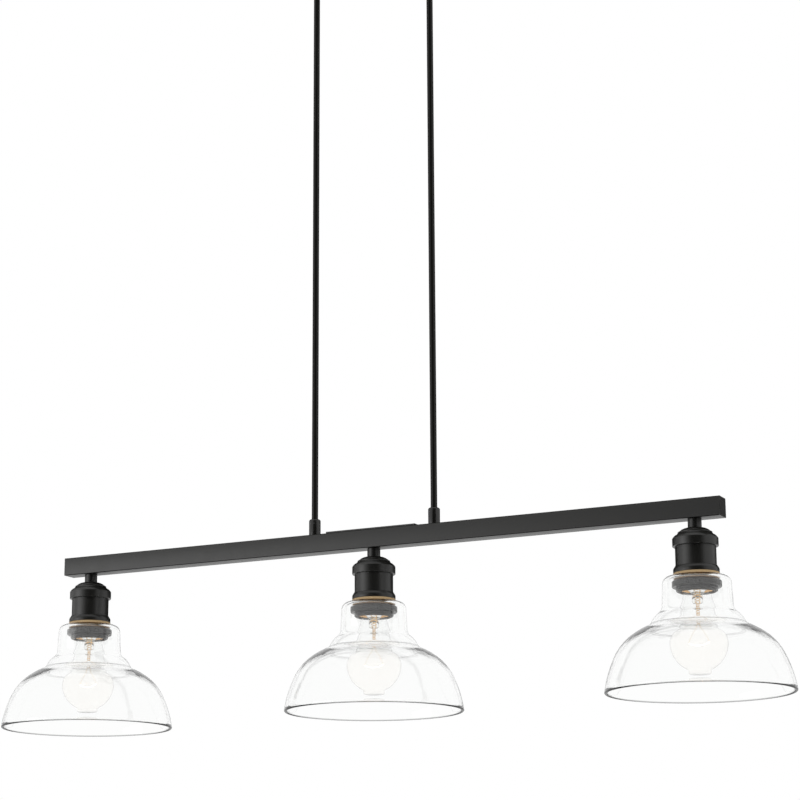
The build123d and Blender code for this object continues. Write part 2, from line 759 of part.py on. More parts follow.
def bulb_cap(x):
    """Hollow screw cap on the foot of the glass: rounded threads, cone and contact."""
    thread_base = z_bulb_foot + cap_skirt_length
    inner = cap_root_radius - cap_shell
    cone_foot = at(cap_root_radius, z_bulb_cone)
    z_contact = z_bulb_cone + cap_cone_length
    threads = []
    for index in range(cap_threads):
        low = at(cap_root_radius, thread_base + index * cap_thread_pitch)
        high = low + Vector(0, 0, cap_thread_pitch)
        threads.append(bowed(high, low, cap_thread_depth))
    skirt = Polyline(
        at(cap_root_radius, thread_base), at(cap_thread_radius, thread_base - cap_shell),
        at(cap_thread_radius, z_bulb_foot), at(inner, z_bulb_foot),
        at(inner, z_bulb_cone), at(0, z_bulb_cone), at(0, z_bulb_top),
        at(cap_contact_radius - cap_contact_break, z_bulb_top),
        at(cap_contact_radius, z_bulb_top - cap_contact_break),
        at(cap_contact_radius, z_contact), cone_foot)
    return Pos(x, 0, 0) * turned(*threads, skirt)


def bulb_stem(x):
    """Glass stem in the bulb: a flared foot, a round rod and a thin press below it."""
    flare = bulb_neck_radius - bulb_wall - fit_gap
    shoulder = z_bulb_foot - stem_length
    foot = shoulder - press_length
    rounding = arc_about(at(stem_radius - stem_round, shoulder + stem_round), stem_round,
                         0, -90)
    flank = bowed(at(flare, z_bulb_foot), at(stem_radius, z_bulb_foot - stem_flare_height),
                  -stem_round / 2)
    rest = Polyline(rounding @ 1, at(press_radius, shoulder), at(press_radius, foot),
                    at(0, foot), at(0, z_bulb_foot), flank @ 0)
    return Pos(x, 0, 0) * turned(flank, Line(flank @ 1, rounding @ 0), rounding, rest)


def bulb_filament(x):
    """Two leads from the stem and the filament that hangs between them."""
    start = z_bulb_foot - stem_length - press_length
    height = z_rim + filament_height
    arc = ThreePointArc((-filament_spread, 0, height), (0, 0, height - filament_sag),
                        (filament_spread, 0, height))
    wires = sweep(Plane(origin=arc @ 0, z_dir=arc % 0) * Circle(filament_radius), path=arc)
    for side in (-1, 1):
        path = Line((side * press_radius / 2, 0, start),
                    (side * filament_spread, 0, height))
        wires += sweep(Plane(origin=path @ 0, z_dir=path % 0) * Circle(lead_radius),
                       path=path)
    return Pos(x, 0, 0) * (wires - pin(press_radius, start, start + press_radius))


# --- Wiring ----------------------------------------------------------------------------
block_right = -block_offset
block_left = block_right - block_length


def terminal_block():
    """Block in the bar where the supply meets the lamp leads."""
    block = Box(block_length, bar_inside - 2 * block_side_gap, block_height)
    return Pos((block_left + block_right) / 2, 0, z_bar_floor + block_height / 2) * block


def supply_wires():
    """Three wires from the left swivel, down the rod and along the bar to the block."""
    x = rod_places["left"]
    top = z_ball + ball_radius - wire_radius
    return group([wire([(x + dx, dy, top), (x + dx, dy, z_middle_run + dx),
                        (block_left, dy, z_middle_run + dx)])
                  for dx, dy in supply_places()])


def lamp_leads():
    """Two leads from each lampholder, up through the post and along to the block."""
    wires = []
    start = z_holder_top + free_gap
    wide = bar_inside / 2 - block_side_gap - 2 * wire_radius
    for x in lamp_places.values():
        end = block_right if x > block_left else block_left
        turn_end = x + (3 * bend_radius if x < end else -3 * bend_radius)
        for side in (-1, 1):
            near = side * lead_pitch
            if x == 0:
                points = [(x, near, start), (x, near, z_middle_run),
                          (end, near, z_middle_run)]
            else:
                points = [(x, near, start), (x, near, z_side_run),
                          (turn_end, side * wide, z_side_run),
                          (end, side * wide, z_side_run)]
            wires.append(wire(points))
    return group(wires)


def wire_nut_rows():
    """Across, up and the supply wire's place for each wire nut in the canopy."""
    return [(row * wire_nut_pitch, z_canopy_run - dx, dx, dy)
            for row, (dx, dy) in zip((1, 0, -1), supply_places())]


def canopy_wires():
    """The supply wires in the canopy, from the left swivel to the wire nuts."""
    x = rod_places["left"]
    wires = []
    for across, height, dx, dy in wire_nut_rows():
        turn_start = x + 2 * bend_radius
        wires.append(wire([
            (x + dx, dy, z_ball + socket_radius), (x + dx, dy, height),
            (turn_start, dy, height), (turn_start + 2 * bend_radius, across, height),
            (-wire_nut_offset + wire_nut_grip, across, height)], bend=bend_radius / 2))
    return group(wires)


def wire_nuts():
    """Screw-on connectors in the canopy."""
    nut = Pos(0, 0, wire_nut_length / 2) * Cone(wire_nut_radius, wire_nut_tip_radius,
                                                wire_nut_length)
    nut = Rot(0, 90, 0) * (nut - pin(wire_radius + fit_gap, 0, wire_nut_grip))
    return group([Pos(-wire_nut_offset, across, height) * nut
                  for across, height, _, _ in wire_nut_rows()])


# --- Writing the pieces ----------------------------------------------------------------
def all_pieces():
    """Every node's name with its solid or group of solids."""
    pieces = {
        "canopy": canopy(),
        "mounting_strap": mounting_strap(),
        "canopy_studs": canopy_studs(),
        "cap_nuts": cap_nuts(),
        "ground_screw": ground_screw(),
        "swivel_housings": swivel_housings(),
        "swivel_collars": swivel_collars(),
        "swivel_nuts": swivel_nuts(),
        "swivel_balls": swivel_balls(),
        "coupling_set_screws": coupling_set_screws(),
        "bar_tube": bar_tube(),
        "bar_end_caps": bar_end_caps(),
        "cover_plate": cover_plate(),
        "cover_screws": cover_screws(),
        "lamp_threads": lamp_threads(),
        "thread_nuts": thread_nuts(),
        "shade_gaskets": shade_gaskets(),
        "centre_contacts": centre_contacts(),
        "terminal_block": terminal_block(),
        "supply_wires": supply_wires(),
        "lamp_leads": lamp_leads(),
        "canopy_wires": canopy_wires(),
        "wire_nuts": wire_nuts(),
    }
    for name, x in rod_places.items():
        pieces[f"rod_{name}"] = rod(x)
        pieces[f"coupling_{name}"] = coupling(x, set_screw_turns[name])
    lamp_makers = (post, cup_cap, cup_body, lampholder, screw_shell, shade, shade_ring,
                   bulb_glass, bulb_cap, bulb_stem, bulb_filament)
    for make in lamp_makers:
        for name, x in lamp_places.items():
            pieces[f"{make.__name__}_{name}"] = make(x)
    return pieces


os.makedirs("parts", exist_ok=True)
for node, piece in all_pieces().items():
    export_step(piece, f"parts/{node}.step")
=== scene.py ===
import json
from collections import Counter
from math import acos, atan2, cos, pi, radians, sin, sqrt, tau

import bpy
from mathutils import Matrix, Vector


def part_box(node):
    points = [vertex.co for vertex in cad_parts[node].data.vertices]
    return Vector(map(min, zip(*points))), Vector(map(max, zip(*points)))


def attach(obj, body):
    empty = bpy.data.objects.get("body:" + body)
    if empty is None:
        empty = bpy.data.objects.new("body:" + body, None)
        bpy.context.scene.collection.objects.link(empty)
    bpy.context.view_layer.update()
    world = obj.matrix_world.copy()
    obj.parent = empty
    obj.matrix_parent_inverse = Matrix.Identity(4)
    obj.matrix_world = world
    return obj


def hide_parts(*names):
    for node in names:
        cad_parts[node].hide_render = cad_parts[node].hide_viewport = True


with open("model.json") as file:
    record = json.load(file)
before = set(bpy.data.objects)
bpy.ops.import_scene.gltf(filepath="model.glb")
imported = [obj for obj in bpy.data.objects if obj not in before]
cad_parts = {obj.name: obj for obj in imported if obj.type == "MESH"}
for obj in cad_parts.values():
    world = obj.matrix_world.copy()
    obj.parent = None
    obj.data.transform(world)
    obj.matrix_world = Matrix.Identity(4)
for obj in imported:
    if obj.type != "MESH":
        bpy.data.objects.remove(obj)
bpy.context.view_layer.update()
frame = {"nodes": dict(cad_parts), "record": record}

bl_info = {
    "name": "Linear island pendant",
    "version": (1, 0, 0),
    "blender": (4, 5, 0),
    "location": "View3D > Sidebar > Pendant",
    "description": "Builds the visible pieces of a three-shade pendant round its fixed frame",
    "category": "Object",
}

MM = 0.001
FIT = 0.05 * MM         # air between pieces that fit into each other
LAMPS = ("left", "centre", "right")
SIDES = ("left", "right")


# --- Places read from the frame ----------------------------------------------------------------
def low(node):
    """The lowest corner of a node's box."""
    return Vector(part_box(node)[0])


def high(node):
    """The highest corner of a node's box."""
    return Vector(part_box(node)[1])


def axis_x(node):
    """Where a node's upright axis stands along the bar."""
    return (low(node).x + high(node).x) / 2


LAMP_X = {name: axis_x(f"post_{name}") for name in LAMPS}
ROD_X = {name: axis_x(f"rod_{name}") for name in SIDES}
Z_RIM = low("shade_centre").z
Z_SHADE_TOP = high("shade_centre").z
Z_GASKET_TOP = high("shade_gaskets").z
Z_BAR_BASE = low("bar_tube").z
Z_BAR_TOP = high("bar_tube").z
Z_CUP_TOP = high("cup_cap_centre").z
Z_SKIRT_BASE = low("cup_cap_centre").z
Z_BODY_TOP = high("cup_body_centre").z
Z_SLEEVE_BASE = low("lampholder_centre").z
Z_BULB_FOOT = low("bulb_cap_centre").z
Z_BULB_TOP = high("bulb_cap_centre").z
Z_COUPLING_TOP = high("coupling_left").z


# --- Sizes and colours that a user would change ------------------------------------------------
def length(name, about, millimetres):
    """A length property with its default in millimetres."""
    return bpy.props.FloatProperty(name=name, description=about, default=millimetres * MM, min=0.0,
                                   unit="LENGTH", subtype="DISTANCE")


def angle(name, about, degrees):
    """An angle property with its default in degrees."""
    return bpy.props.FloatProperty(name=name, description=about, default=radians(degrees),
                                   subtype="ANGLE")


def colour(name, about, red, green, blue):
    """A colour property with a linear default."""
    return bpy.props.FloatVectorProperty(name=name, description=about, default=(red, green, blue),
                                         min=0.0, max=1.0, subtype="COLOR")


def number(name, about, default):
    """A property that holds a number of things."""
    return bpy.props.IntProperty(name=name, description=about, default=default, min=1)


def share(name, about, default):
    """A property from 0 to 1."""
    return bpy.props.FloatProperty(name=name, description=about, default=default, min=0.0, max=1.0,
                                   subtype="FACTOR")


class ShadeSizes(bpy.types.PropertyGroup):
    """Sizes of the blown glass shades."""

    wall: length("Wall", "Thickness of the glass", 2.8)
    ridge_round: length("Ridge round", "Length of the rounding along the ridge inside", 5.0)
    rim_radius: length("Rim radius", "Outer radius of the rim", 95.25)
    side_curve: length("Side curve", "First arc of the dome, up from the rim", 122.8)
    shoulder_curve: length("Shoulder curve", "Second arc of the dome", 54.5)
    crown_curve: length("Crown curve", "Third arc of the dome", 82.5)
    rim_turn: angle("Rim turn", "Lean of the dome at its rim", 8.4)
    side_turn: angle("Side turn", "Lean where the first arc ends", 25.8)
    shoulder_turn: angle("Shoulder turn", "Lean where the second arc ends", 53.9)
    thickening: length("Thickening", "How much tighter the second and third arcs are inside", 4.0)
    hole_radius: length("Hole radius", "Radius of the hole in the flat top", 20.2)
    neck_radius: length("Neck radius", "Outer radius of the neck at its top", 34.6)
    neck_foot_radius: length("Neck foot radius", "Outer radius of the neck at its foot", 35.6)
    neck_bend: length("Neck bend", "Radius of the turn into the flat top", 7.6)
    foot_fillet: length("Foot fillet", "Hollow curve at the foot of the neck", 9.3)
    step_curve: length("Step curve", "Radius of the rounded step under the neck", 24.9)
    step_centre_radius: length("Step centre radius", "From the axis to the step's centre", 24.4)
    step_centre_height: length("Step centre height", "From the rim up to the step's centre", 60.1)


class CupSizes(bpy.types.PropertyGroup):
    """Sizes of the black lamp cups and their posts."""

    radius: length("Cup radius", "Outer radius of the plain stretch", 20.65)
    flange: length("Flange", "How far the flanges stand out", 2.55)
    wall: length("Wall", "Thickness of the cup's body", 1.05)
    dome_height: length("Dome height", "Height of the domed top", 6.9)
    dome_top_radius: length("Dome top radius", "Radius of the flat on the dome", 7.4)
    dome_foot_inset: length("Dome foot inset", "Foot of the dome, in from the flange", 4.5)
    dome_bow: length("Dome bow", "How far the dome stands out from its chord", 1.7)
    cap_shoulder: length("Cap shoulder", "Height of the rounded shoulder under the dome", 4.1)
    cap_shoulder_bow: length("Cap shoulder bow", "How far it stands out from its chord", 0.55)
    cap_roof: length("Cap roof", "Thickness of the cap's top", 2.4)
    cap_wall: length("Cap wall", "Thickness of the cap's wall over the body", 3.2)
    cap_slope: length("Cap slope", "Width of the slope inside between wall and roof", 6.0)
    cap_slope_height: length("Cap slope height", "Height of that slope", 2.0)
    ledge_height: length("Ledge height", "Lower flange with its ledge", 7.3)
    ledge_out: length("Ledge", "How far the thin ledge stands out", 0.65)
    ledge_thickness: length("Ledge thickness", "Thickness of that ledge", 0.6)
    ledge_edge: length("Ledge edge", "Slant at the ledge's edge", 0.15)
    shoulder: length("Lower shoulder", "Height of the rounded shoulder under the ledge", 3.2)
    shoulder_bow: length("Lower shoulder bow", "How far it stands out from its chord", 0.25)
    edge: length("Edge", "Radius of the small edges", 0.45)
    post_radius: length("Post radius", "Outer radius of the posts", 7.0)
    thread_hole: length("Thread hole", "Radius of the holes for the hollow threads", 5.0)


class HolderSizes(bpy.types.PropertyGroup):
    """Sizes of the lampholders, their brass shells and the rings."""

    sleeve_radius: length("Sleeve radius", "Outer radius of the threaded sleeve", 19.5)
    sleeve_wall: length("Sleeve wall", "Wall of the sleeve at its mouth", 2.5)
    sleeve_gap: length("Sleeve gap", "Air round the holder in the cup and in the gasket", 0.3)
    sleeve_edge: length("Sleeve edge", "Slant outside at the sleeve's mouth", 0.8)
    mouth_edge: length("Mouth edge", "Slant inside at the sleeve's mouth", 0.6)
    mouth_depth: length("Mouth depth", "From the mouth up to the brass shell's foot", 4.6)
    thread_pitch: length("Thread pitch", "Pitch of the sleeve's thread", 1.6)
    thread_depth: length("Thread depth", "Depth of the sleeve's thread", 0.35)
    hub_radius: length("Hub radius", "Radius of the hub that the hollow thread enters", 9.0)
    hub_height: length("Hub height", "Height of that hub", 8.0)
    roof: length("Holder roof", "Thickness of the top over the brass shell", 8.0)
    ring_radius: length("Ring radius", "Outer radius of the clamping ring", 25.0)
    ring_chamfer: length("Ring chamfer", "Slope of the ring's upper edge", 3.0)
    ring_flange: length("Ring flange", "Height of the ring's wide part", 8.7)
    ring_collar: length("Ring collar wall", "Wall of the ring's lower collar", 1.3)
    ring_gap: length("Ring gap", "Air between the ring and the sleeve", 0.1)
    notch_depth: length("Notch depth", "Depth of the grips round the ring", 0.5)
    notches: number("Notches", "Grips round the ring", 24)
    shell_radius: length("Shell radius", "Outer radius of the brass shell", 13.75)
    shell_wall: length("Shell wall", "Thickness of the brass shell", 0.6)


class BulbSizes(bpy.types.PropertyGroup):
    """Sizes of the bulbs."""

    radius: length("Bulb radius", "Radius of the round part", 29.1)
    centre_height: length("Centre height", "Height of its centre over the shade's rim", 49.7)
    wall: length("Bulb wall", "Thickness of the glass", 0.8)
    neck_radius: length("Neck radius", "Radius of the glass at the screw cap", 12.9)
    mid_radius: length("Mid radius", "Radius of the glass half way down its neck", 16.6)
    mid_height: length("Mid height", "Height of that place over the shade's rim", 86.0)
    join_angle: angle("Join angle", "Where the neck meets the round part", 42.0)
    tip_radius: length("Tip radius", "Radius of the flat tip", 11.3)
    tip_drop: length("Tip drop", "How far the tip stands proud", 2.0)
    tip_edge: length("Tip edge", "Rounding of the tip's edge", 1.0)
    cap_radius: length("Cap radius", "Outer radius of the screw cap", 13.05)
    cap_wall: length("Cap wall", "Wall of the screw cap", 0.6)
    cap_depth: length("Thread depth", "Depth of the cap's thread", 0.75)
    cap_skirt: length("Cap skirt", "Plain stretch under the thread", 5.0)
    cap_pitch: length("Cap pitch", "Pitch of the cap's thread", 3.6)
    cap_cone: length("Cap cone", "Height of the insulating cone", 4.0)
    contact_radius: length("Contact radius", "Radius of the tip's contact", 4.8)
    contact_height: length("Contact height", "Height of the contact at the cap's tip", 1.6)
    contact_edge: length("Contact edge", "Slant at the contact's edge", 0.8)
    contact_gap: length("Contact gap", "Air over it, under the holder's contact", 0.05)
    flare_gap: length("Flare gap", "Air between the stem's flare and the neck", 0.1)
    flare_height: length("Flare height", "Height of the flare", 6.0)
    flare_bow: length("Flare bow", "How hollow the flare is", 1.2)
    stem_radius: length("Stem radius", "Radius of the glass stem", 5.5)
    stem_length: length("Stem length", "Length of the stem's wide part", 17.5)
    stem_round: length("Stem round", "Rounding at the end of that part", 3.0)
    press_radius: length("Press radius", "Radius of the thin part of the stem", 1.7)
    press_length: length("Press length", "Length of that thin part", 10.0)
    press_edge: length("Press edge", "Slant at its end", 0.8)
    lead_radius: length("Lead radius", "Radius of the lead wires", 0.35)
    lead_winding: length("Lead winding", "Radius that the leads are wound at in the stem", 2.2)
    lead_turns: number("Lead turns", "Turns that the leads make round each other", 4)
    coil_radius: length("Coil radius", "Radius that the filament is coiled at", 0.45)
    coil_wire: length("Coil wire", "Radius of the filament's wire", 0.12)
    coil_turns: number("Coil turns", "Turns of the filament's coil", 36)
    filament_spread: length("Filament spread", "Half the way between the filament's ends", 11.0)
    filament_height: length("Filament height", "Height of its ends over the shade's rim", 51.0)
    filament_sag: length("Filament sag", "How far its middle hangs below its ends", 4.0)


class FrameSizes(bpy.types.PropertyGroup):
    """Sizes of the bar, rods and couplings."""

    bar_edge: length("Bar edge", "Radius of the bar's long edges", 1.0)
    bar_wall: length("Bar wall", "Wall of the square tube", 1.2)
    rod_radius: length("Rod radius", "Outer radius of the rods", 3.5)
    rod_wall: length("Rod wall", "Wall of the rods", 1.0)
    coupling_radius: length("Coupling radius", "Outer radius of the couplings", 6.3)
    coupling_chamfer: length("Coupling chamfer", "Slope of the couplings' upper edge", 1.6)
    coupling_bow: length("Coupling bow", "How far that slope stands out from its chord", 0.25)


class PendantColours(bpy.types.PropertyGroup):
    """Colours and finishes of the pendant."""

    black: colour("Black", "Satin powder coat", 0.0060, 0.0059, 0.0050)
    black_roughness: share("Black roughness", "Roughness of the powder coat", 0.36)
    fibre: colour("Fibre", "Tan fibre gasket", 0.60, 0.42, 0.22)
    brass: colour("Brass", "Screw shell of the lampholder", 0.86, 0.5, 0.2)
    glass: colour("Glass", "Body tint of the shades", 0.985, 0.988, 0.985)
    # painted shade: the dark colour that the shades' glass is blended towards where it is seen edge
    # on
    glass_edge_shade: colour("Glass edge", "Glass that is seen edge on", 0.12, 0.12, 0.12)
    glass_reflection: share("Glass reflection", "Half is that of real glass", 0.28)
    # painted shade: how much of the dark edge colour is mixed into the band at the rims
    rim_painted_shade: share("Rim dark", "How much of the edge colour the rims of the shades take", 0.45)
    # painted shade: how much of the dark edge colour is mixed into the band at the crease
    crease_painted_shade: share("Crease dark", "The same along the crease over the dome", 0.4)
    # painted shade: the same dark outline on the bulbs' glass
    bulb_edge: colour("Bulb edge", "The same for the thin glass of the bulbs", 0.18, 0.18, 0.18)
    bloom: colour("Bloom", "Light that the lit bulbs seem filled with", 1.0, 0.985, 0.96)
    bloom_amount: share("Bloom amount", "How much of it is seen", 0.42)
    coupling_roughness: share("Coupling roughness", "Roughness of the couplings", 0.24)
    glow: colour("Glow", "Light of the filament", 1.0, 0.62, 0.26)


class StudioSettings(bpy.types.PropertyGroup):
    """The plain studio and its camera."""

    lens: bpy.props.FloatProperty(name="Lens", default=102.34, subtype="DISTANCE_CAMERA",
                                  description="Focal length in millimetres")
    yaw: angle("Yaw", "Turn of the camera to the left of +Y", 26.0467)
    pitch: angle("Pitch", "Tilt of the camera above the horizon", 13.9229)
    roll: angle("Roll", "Turn of the camera about its own axis", -0.2979)
    right: length("Right", "Camera to the right of the middle lamp", 1085.7)
    front: length("Front", "Camera in front of the bar", 2155.3)
    below: length("Below", "Camera below the rims of the shades", 258.6)
    floor_drop: length("Floor drop", "Floor below the rims of the shades", 1500.0)
    floor_size: length("Floor size", "Side of the floor", 12000.0)
    floor_white: share("Floor white", "How white the floor looks; the rest shows shadows", 0.94)
    card_radius: length("Card radius", "From the lamps' middle to the dark cards", 3200.0)
    card_height: length("Card height", "Height of the dark cards", 6000.0)
    light: bpy.props.FloatProperty(name="Light", default=0.9, min=0.0,
                                   description="Strength of the surrounding light")


# --- Shader maths ------------------------------------------------------------------------------
class Reading:
    """A socket of a material, which sums and products can be written with."""

    def __init__(self, paint, socket):
        self.paint = paint
        self.socket = socket

    def joined(self, operation, first, second):
        """The output of a Math node on two values."""
        node = self.paint.node("ShaderNodeMath", {"operation": operation}, {0: first, 1: second})
        return Reading(self.paint, node.outputs[0])

    def __add__(self, other):
        return self.joined("ADD", self, other)

    def __radd__(self, other):
        return self.joined("ADD", other, self)

    def __sub__(self, other):
        return self.joined("SUBTRACT", self, other)

    def __rsub__(self, other):
        return self.joined("SUBTRACT", other, self)

    def __mul__(self, other):
        return self.joined("MULTIPLY", self, other)

    def __rmul__(self, other):
        return self.joined("MULTIPLY", other, self)

    def __pow__(self, other):
        return self.joined("POWER", self, other)

    def above(self, other):
        """1 where this is more than other, and 0 elsewhere."""
        return self.joined("GREATER_THAN", self, other)

    def most(self, other):
        """The larger of two values."""
        return self.joined("MAXIMUM", self, other)


class Paint:
    """A material, or the world, and its nodes."""

    def __init__(self, name, kind="materials", output="ShaderNodeOutputMaterial"):
        self.owner = getattr(bpy.data, kind).new(name)
        self.owner.use_nodes = True
        self.tree = self.owner.node_tree
        self.tree.nodes.clear()
        self.output = self.tree.nodes.new(output)

    def node(self, kind, settings=None, sockets=None):
        """A new node: its settings first, then the values or links of its sockets."""
        node = self.tree.nodes.new(kind)
        for key, value in (settings or {}).items():
            setattr(node, key, value)
        for key, value in (sockets or {}).items():
            if isinstance(value, Reading):
                self.tree.links.new(value.socket, node.inputs[key])
            elif isinstance(value, bpy.types.NodeSocket):
                self.tree.links.new(value, node.inputs[key])
            else:
                node.inputs[key].default_value = value
        return node

    def reading(self, kind, output, settings=None, sockets=None):
        """One output of a new node."""
        return Reading(self, self.node(kind, settings, sockets).outputs[output])

    def place(self, scale=(1, 1, 1)):
        """Object coordinates, stretched by a scale."""
        here = self.reading("ShaderNodeTexCoord", "Object")
        return self.reading("ShaderNodeMapping", "Vector", None, {"Vector": here, "Scale": scale})

    def noise(self, size, detail=3.0, scale=(1, 1, 1)):
        """Noise from 0 to 1 with lumps of about the given size in metres."""
        return self.reading("ShaderNodeTexNoise", "Fac", None,
                            {"Vector": self.place(scale), "Scale": 1 / size, "Detail": detail})

    def mixed(self, amount, first, second):
        """A colour between two, by an amount."""
        return self.reading("ShaderNodeMix", 2, {"data_type": "RGBA"},
                            {0: amount, 6: first, 7: second})

    def bump(self, height, depth, strength=1.0):
        """Normals of a surface that is raised by height times depth in metres."""
        return self.reading("ShaderNodeBump", "Normal", None,
                            {"Height": height, "Distance": depth, "Strength": strength})

    def principled(self, **values):
        """A Principled shader; underscores in the names stand for spaces."""
        sockets = {key.replace("_", " "): value for key, value in values.items()}
        return self.node("ShaderNodeBsdfPrincipled", None, sockets)

    def emission(self, tone):
        """A shader that gives off its colour at a strength of 1."""
        return self.node("ShaderNodeEmission", None, {"Color": tone})

    def see_through(self, tone):
        """A shader that lets light straight through, tinted."""
        return self.node("ShaderNodeBsdfTransparent", None, {"Color": tone})

    def blend(self, amount, first, second):
        """One shader that turns into another by an amount."""
        return self.node("ShaderNodeMixShader", None,
                         {0: amount, 1: first.outputs[0], 2: second.outputs[0]})

    def ramp(self, value, start, end, most=1.0):
        """Rises smoothly from 0 at start to most at end."""
        return self.reading("ShaderNodeMapRange", 0, {"interpolation_type": "SMOOTHSTEP"},
                            {"Value": value, "From Min": start, "From Max": end, "To Min": 0.0,
                             "To Max": most})

    def rays(self, *kinds):
        """1 for rays of these kinds, and 0 for all others."""
        path = self.node("ShaderNodeLightPath")
        first, *others = [Reading(self, path.outputs[f"Is {kind} Ray"]) for kind in kinds]
        for other in others:
            first = first.most(other)
        return first

    def finished(self, shader):
        """The material or world, with this shader on its surface."""
        self.tree.links.new(shader.outputs[0], self.output.inputs["Surface"])
        return self.owner


def rgba(tone, level=1.0):
    """A colour with its alpha, made darker or lighter."""
    return (*(part * level for part in tone), 1.0)


def grey(level):
    """A neutral colour with its alpha."""
    return (level, level, level, 1.0)


# --- Materials ---------------------------------------------------------------------------------
def shared(maker):
    """The material that a function makes, made once and then found by its name."""
    name = f"made_{maker.__name__}"
    material = bpy.data.materials.get(name) or maker()
    material.name = name
    return material


def black_satin():
    """Satin powder coat."""
    colours = bpy.context.scene.pendant_colours
    return powder_coat("black_satin", colours.black_roughness, gloss=0.5)


def black_gloss():
    """The same coat, smoother, on the couplings."""
    colours = bpy.context.scene.pendant_colours
    return powder_coat("black_gloss", colours.coupling_roughness, gloss=0.5)


def rod_coat_painted_shade():
    """The same coat on the rods with weaker reflections, so that they look darker than the rest:
    painted shade.
    """
    colours = bpy.context.scene.pendant_colours
    return powder_coat("rod_coat_painted_shade", colours.coupling_roughness, gloss=0.2)


def powder_coat(name, roughness, gloss):
    """Black powder coat with a fine orange peel and the given roughness and share of gloss."""
    black = bpy.context.scene.pendant_colours.black
    paint = Paint(name)
    peel = paint.noise(size=0.9 * MM, detail=2.0)
    cloud = paint.noise(size=14 * MM, detail=2.0)
    return paint.finished(paint.principled(
        Base_Color=paint.mixed(cloud, rgba(black), rgba(black, level=1.35)),
        Roughness=roughness + (cloud - 0.5) * 0.10,
        Specular_IOR_Level=gloss,
        Normal=paint.bump(peel, depth=0.02 * MM, strength=0.5)))


def painted_edge_shade():
    """Painted shade on the bar's long edges: a darker, matt coat that keeps their reflections dark.
    """
    paint = Paint("painted_edge_shade")
    grain = paint.noise(size=0.7 * MM)
    return paint.finished(paint.principled(
        Base_Color=paint.mixed(grain, grey(0.0015), grey(0.004)),
        Roughness=0.75 + grain * 0.15,
        Specular_IOR_Level=0.12))


def moulded_black():
    """Matt moulding of the lampholders, with fine flow marks."""
    paint = Paint("moulded_black")
    grain = paint.noise(size=0.5 * MM, detail=4.0)
    return paint.finished(paint.principled(
        Base_Color=paint.mixed(grain, grey(0.02), grey(0.035)),
        Roughness=0.42 + grain * 0.15,
        Normal=paint.bump(grain, depth=0.015 * MM, strength=0.5)))


BLOOM_TOP, BLOOM_FULL = 78 * MM, 55 * MM    # heights over the rim where the bloom starts and fills
BLOOM_FADE = 2.5                            # how steeply it fades towards the bulb's outline
RIM_DEPTH = 1.6 * MM                        # height of the band of painted shade at the rim
CREASE = 67.9 * MM                          # height over the rim of the crease above the dome
CREASE_HALF = 0.7 * MM                      # half the height of the band of painted shade there
DEEP = 7.5                                  # rays that bounce more often end in a pale grey glow, which is painted light
DEEP_RAY_GLOW = grey(0.92)
SHADOW_TONE = grey(0.97)                    # what the glass leaves of the light in its shadow


def glassy(name, tint, edge, power, ripple, ripple_size, rim=0.0, crease=0.0, bloom=0.0):
    """Clear glass with painted shade along its outline; its rim and crease may get painted shade
    too, or it may hold a bloom.
    """
    colours = bpy.context.scene.pendant_colours
    paint = Paint(name)
    facing = paint.reading("ShaderNodeLayerWeight", "Facing", None, {"Blend": 0.5})
    height = paint.reading("ShaderNodeSeparateXYZ", "Z", None, {"Vector": paint.place()})
    wave = paint.noise(ripple_size, detail=1.0)
    glass = paint.principled(
        Base_Color=rgba(tint), Roughness=0.0, IOR=1.5, Transmission_Weight=1.0,
        Specular_IOR_Level=colours.glass_reflection, Normal=paint.bump(wave, ripple))
    entering = 1 - paint.reading("ShaderNodeNewGeometry", "Backfacing")
    # painted shade along the outline, where the outer surface is seen edge on
    amount = facing ** power * entering
    # painted shade: a darker band along the rim
    if rim:
        amount = amount.most(paint.ramp(height, Z_RIM + RIM_DEPTH, Z_RIM + RIM_DEPTH / 2, rim))
    # painted shade: a darker band along the crease
    if crease:
        middle = Z_RIM + CREASE
        rise = paint.ramp(height, middle - CREASE_HALF, middle, crease)
        fall = paint.ramp(height, middle + CREASE_HALF, middle)
        amount = amount.most(rise * fall)
    body = paint.blend(amount, glass, paint.see_through(rgba(edge)))
    if bloom:
        depth = paint.ramp(height, Z_RIM + BLOOM_TOP, Z_RIM + BLOOM_FULL, bloom)
        body = paint.blend(depth * (1 - facing ** BLOOM_FADE), body,
                           paint.emission(rgba(colours.bloom)))
    # painted light: rays that bounced more than DEEP times end in a pale grey glow
    deep = paint.reading("ShaderNodeLightPath", "Ray Depth").above(DEEP)
    body = paint.blend(deep, body, paint.emission(DEEP_RAY_GLOW))
    return paint.finished(paint.blend(paint.rays("Shadow"), body, paint.see_through(SHADOW_TONE)))


def clear_glass():
    """Glass of the shades, with painted shade along its outline, rim and crease."""
    colours = bpy.context.scene.pendant_colours
    return glassy("clear_glass", colours.glass, colours.glass_edge_shade, power=20.0,
                  ripple=0.10 * MM, ripple_size=18 * MM,
                  rim=colours.rim_painted_shade, crease=colours.crease_painted_shade)


def bulb_glass():
    """Thin glass of the bulbs, with painted shade along its outline and the bloom of the lit
    filament in it.
    """
    colours = bpy.context.scene.pendant_colours
    return glassy("bulb_glass", colours.glass, colours.bulb_edge, power=12.0,
                  ripple=0.02 * MM, ripple_size=9 * MM, bloom=colours.bloom_amount)


def stem_glass():
    """Glass of the bulbs' stems, with painted shade along its outline."""
    return glassy("stem_glass", tint=(0.99, 0.985, 0.97), edge=(0.3, 0.28, 0.25), power=4.0,
                  ripple=0.02 * MM, ripple_size=5 * MM)


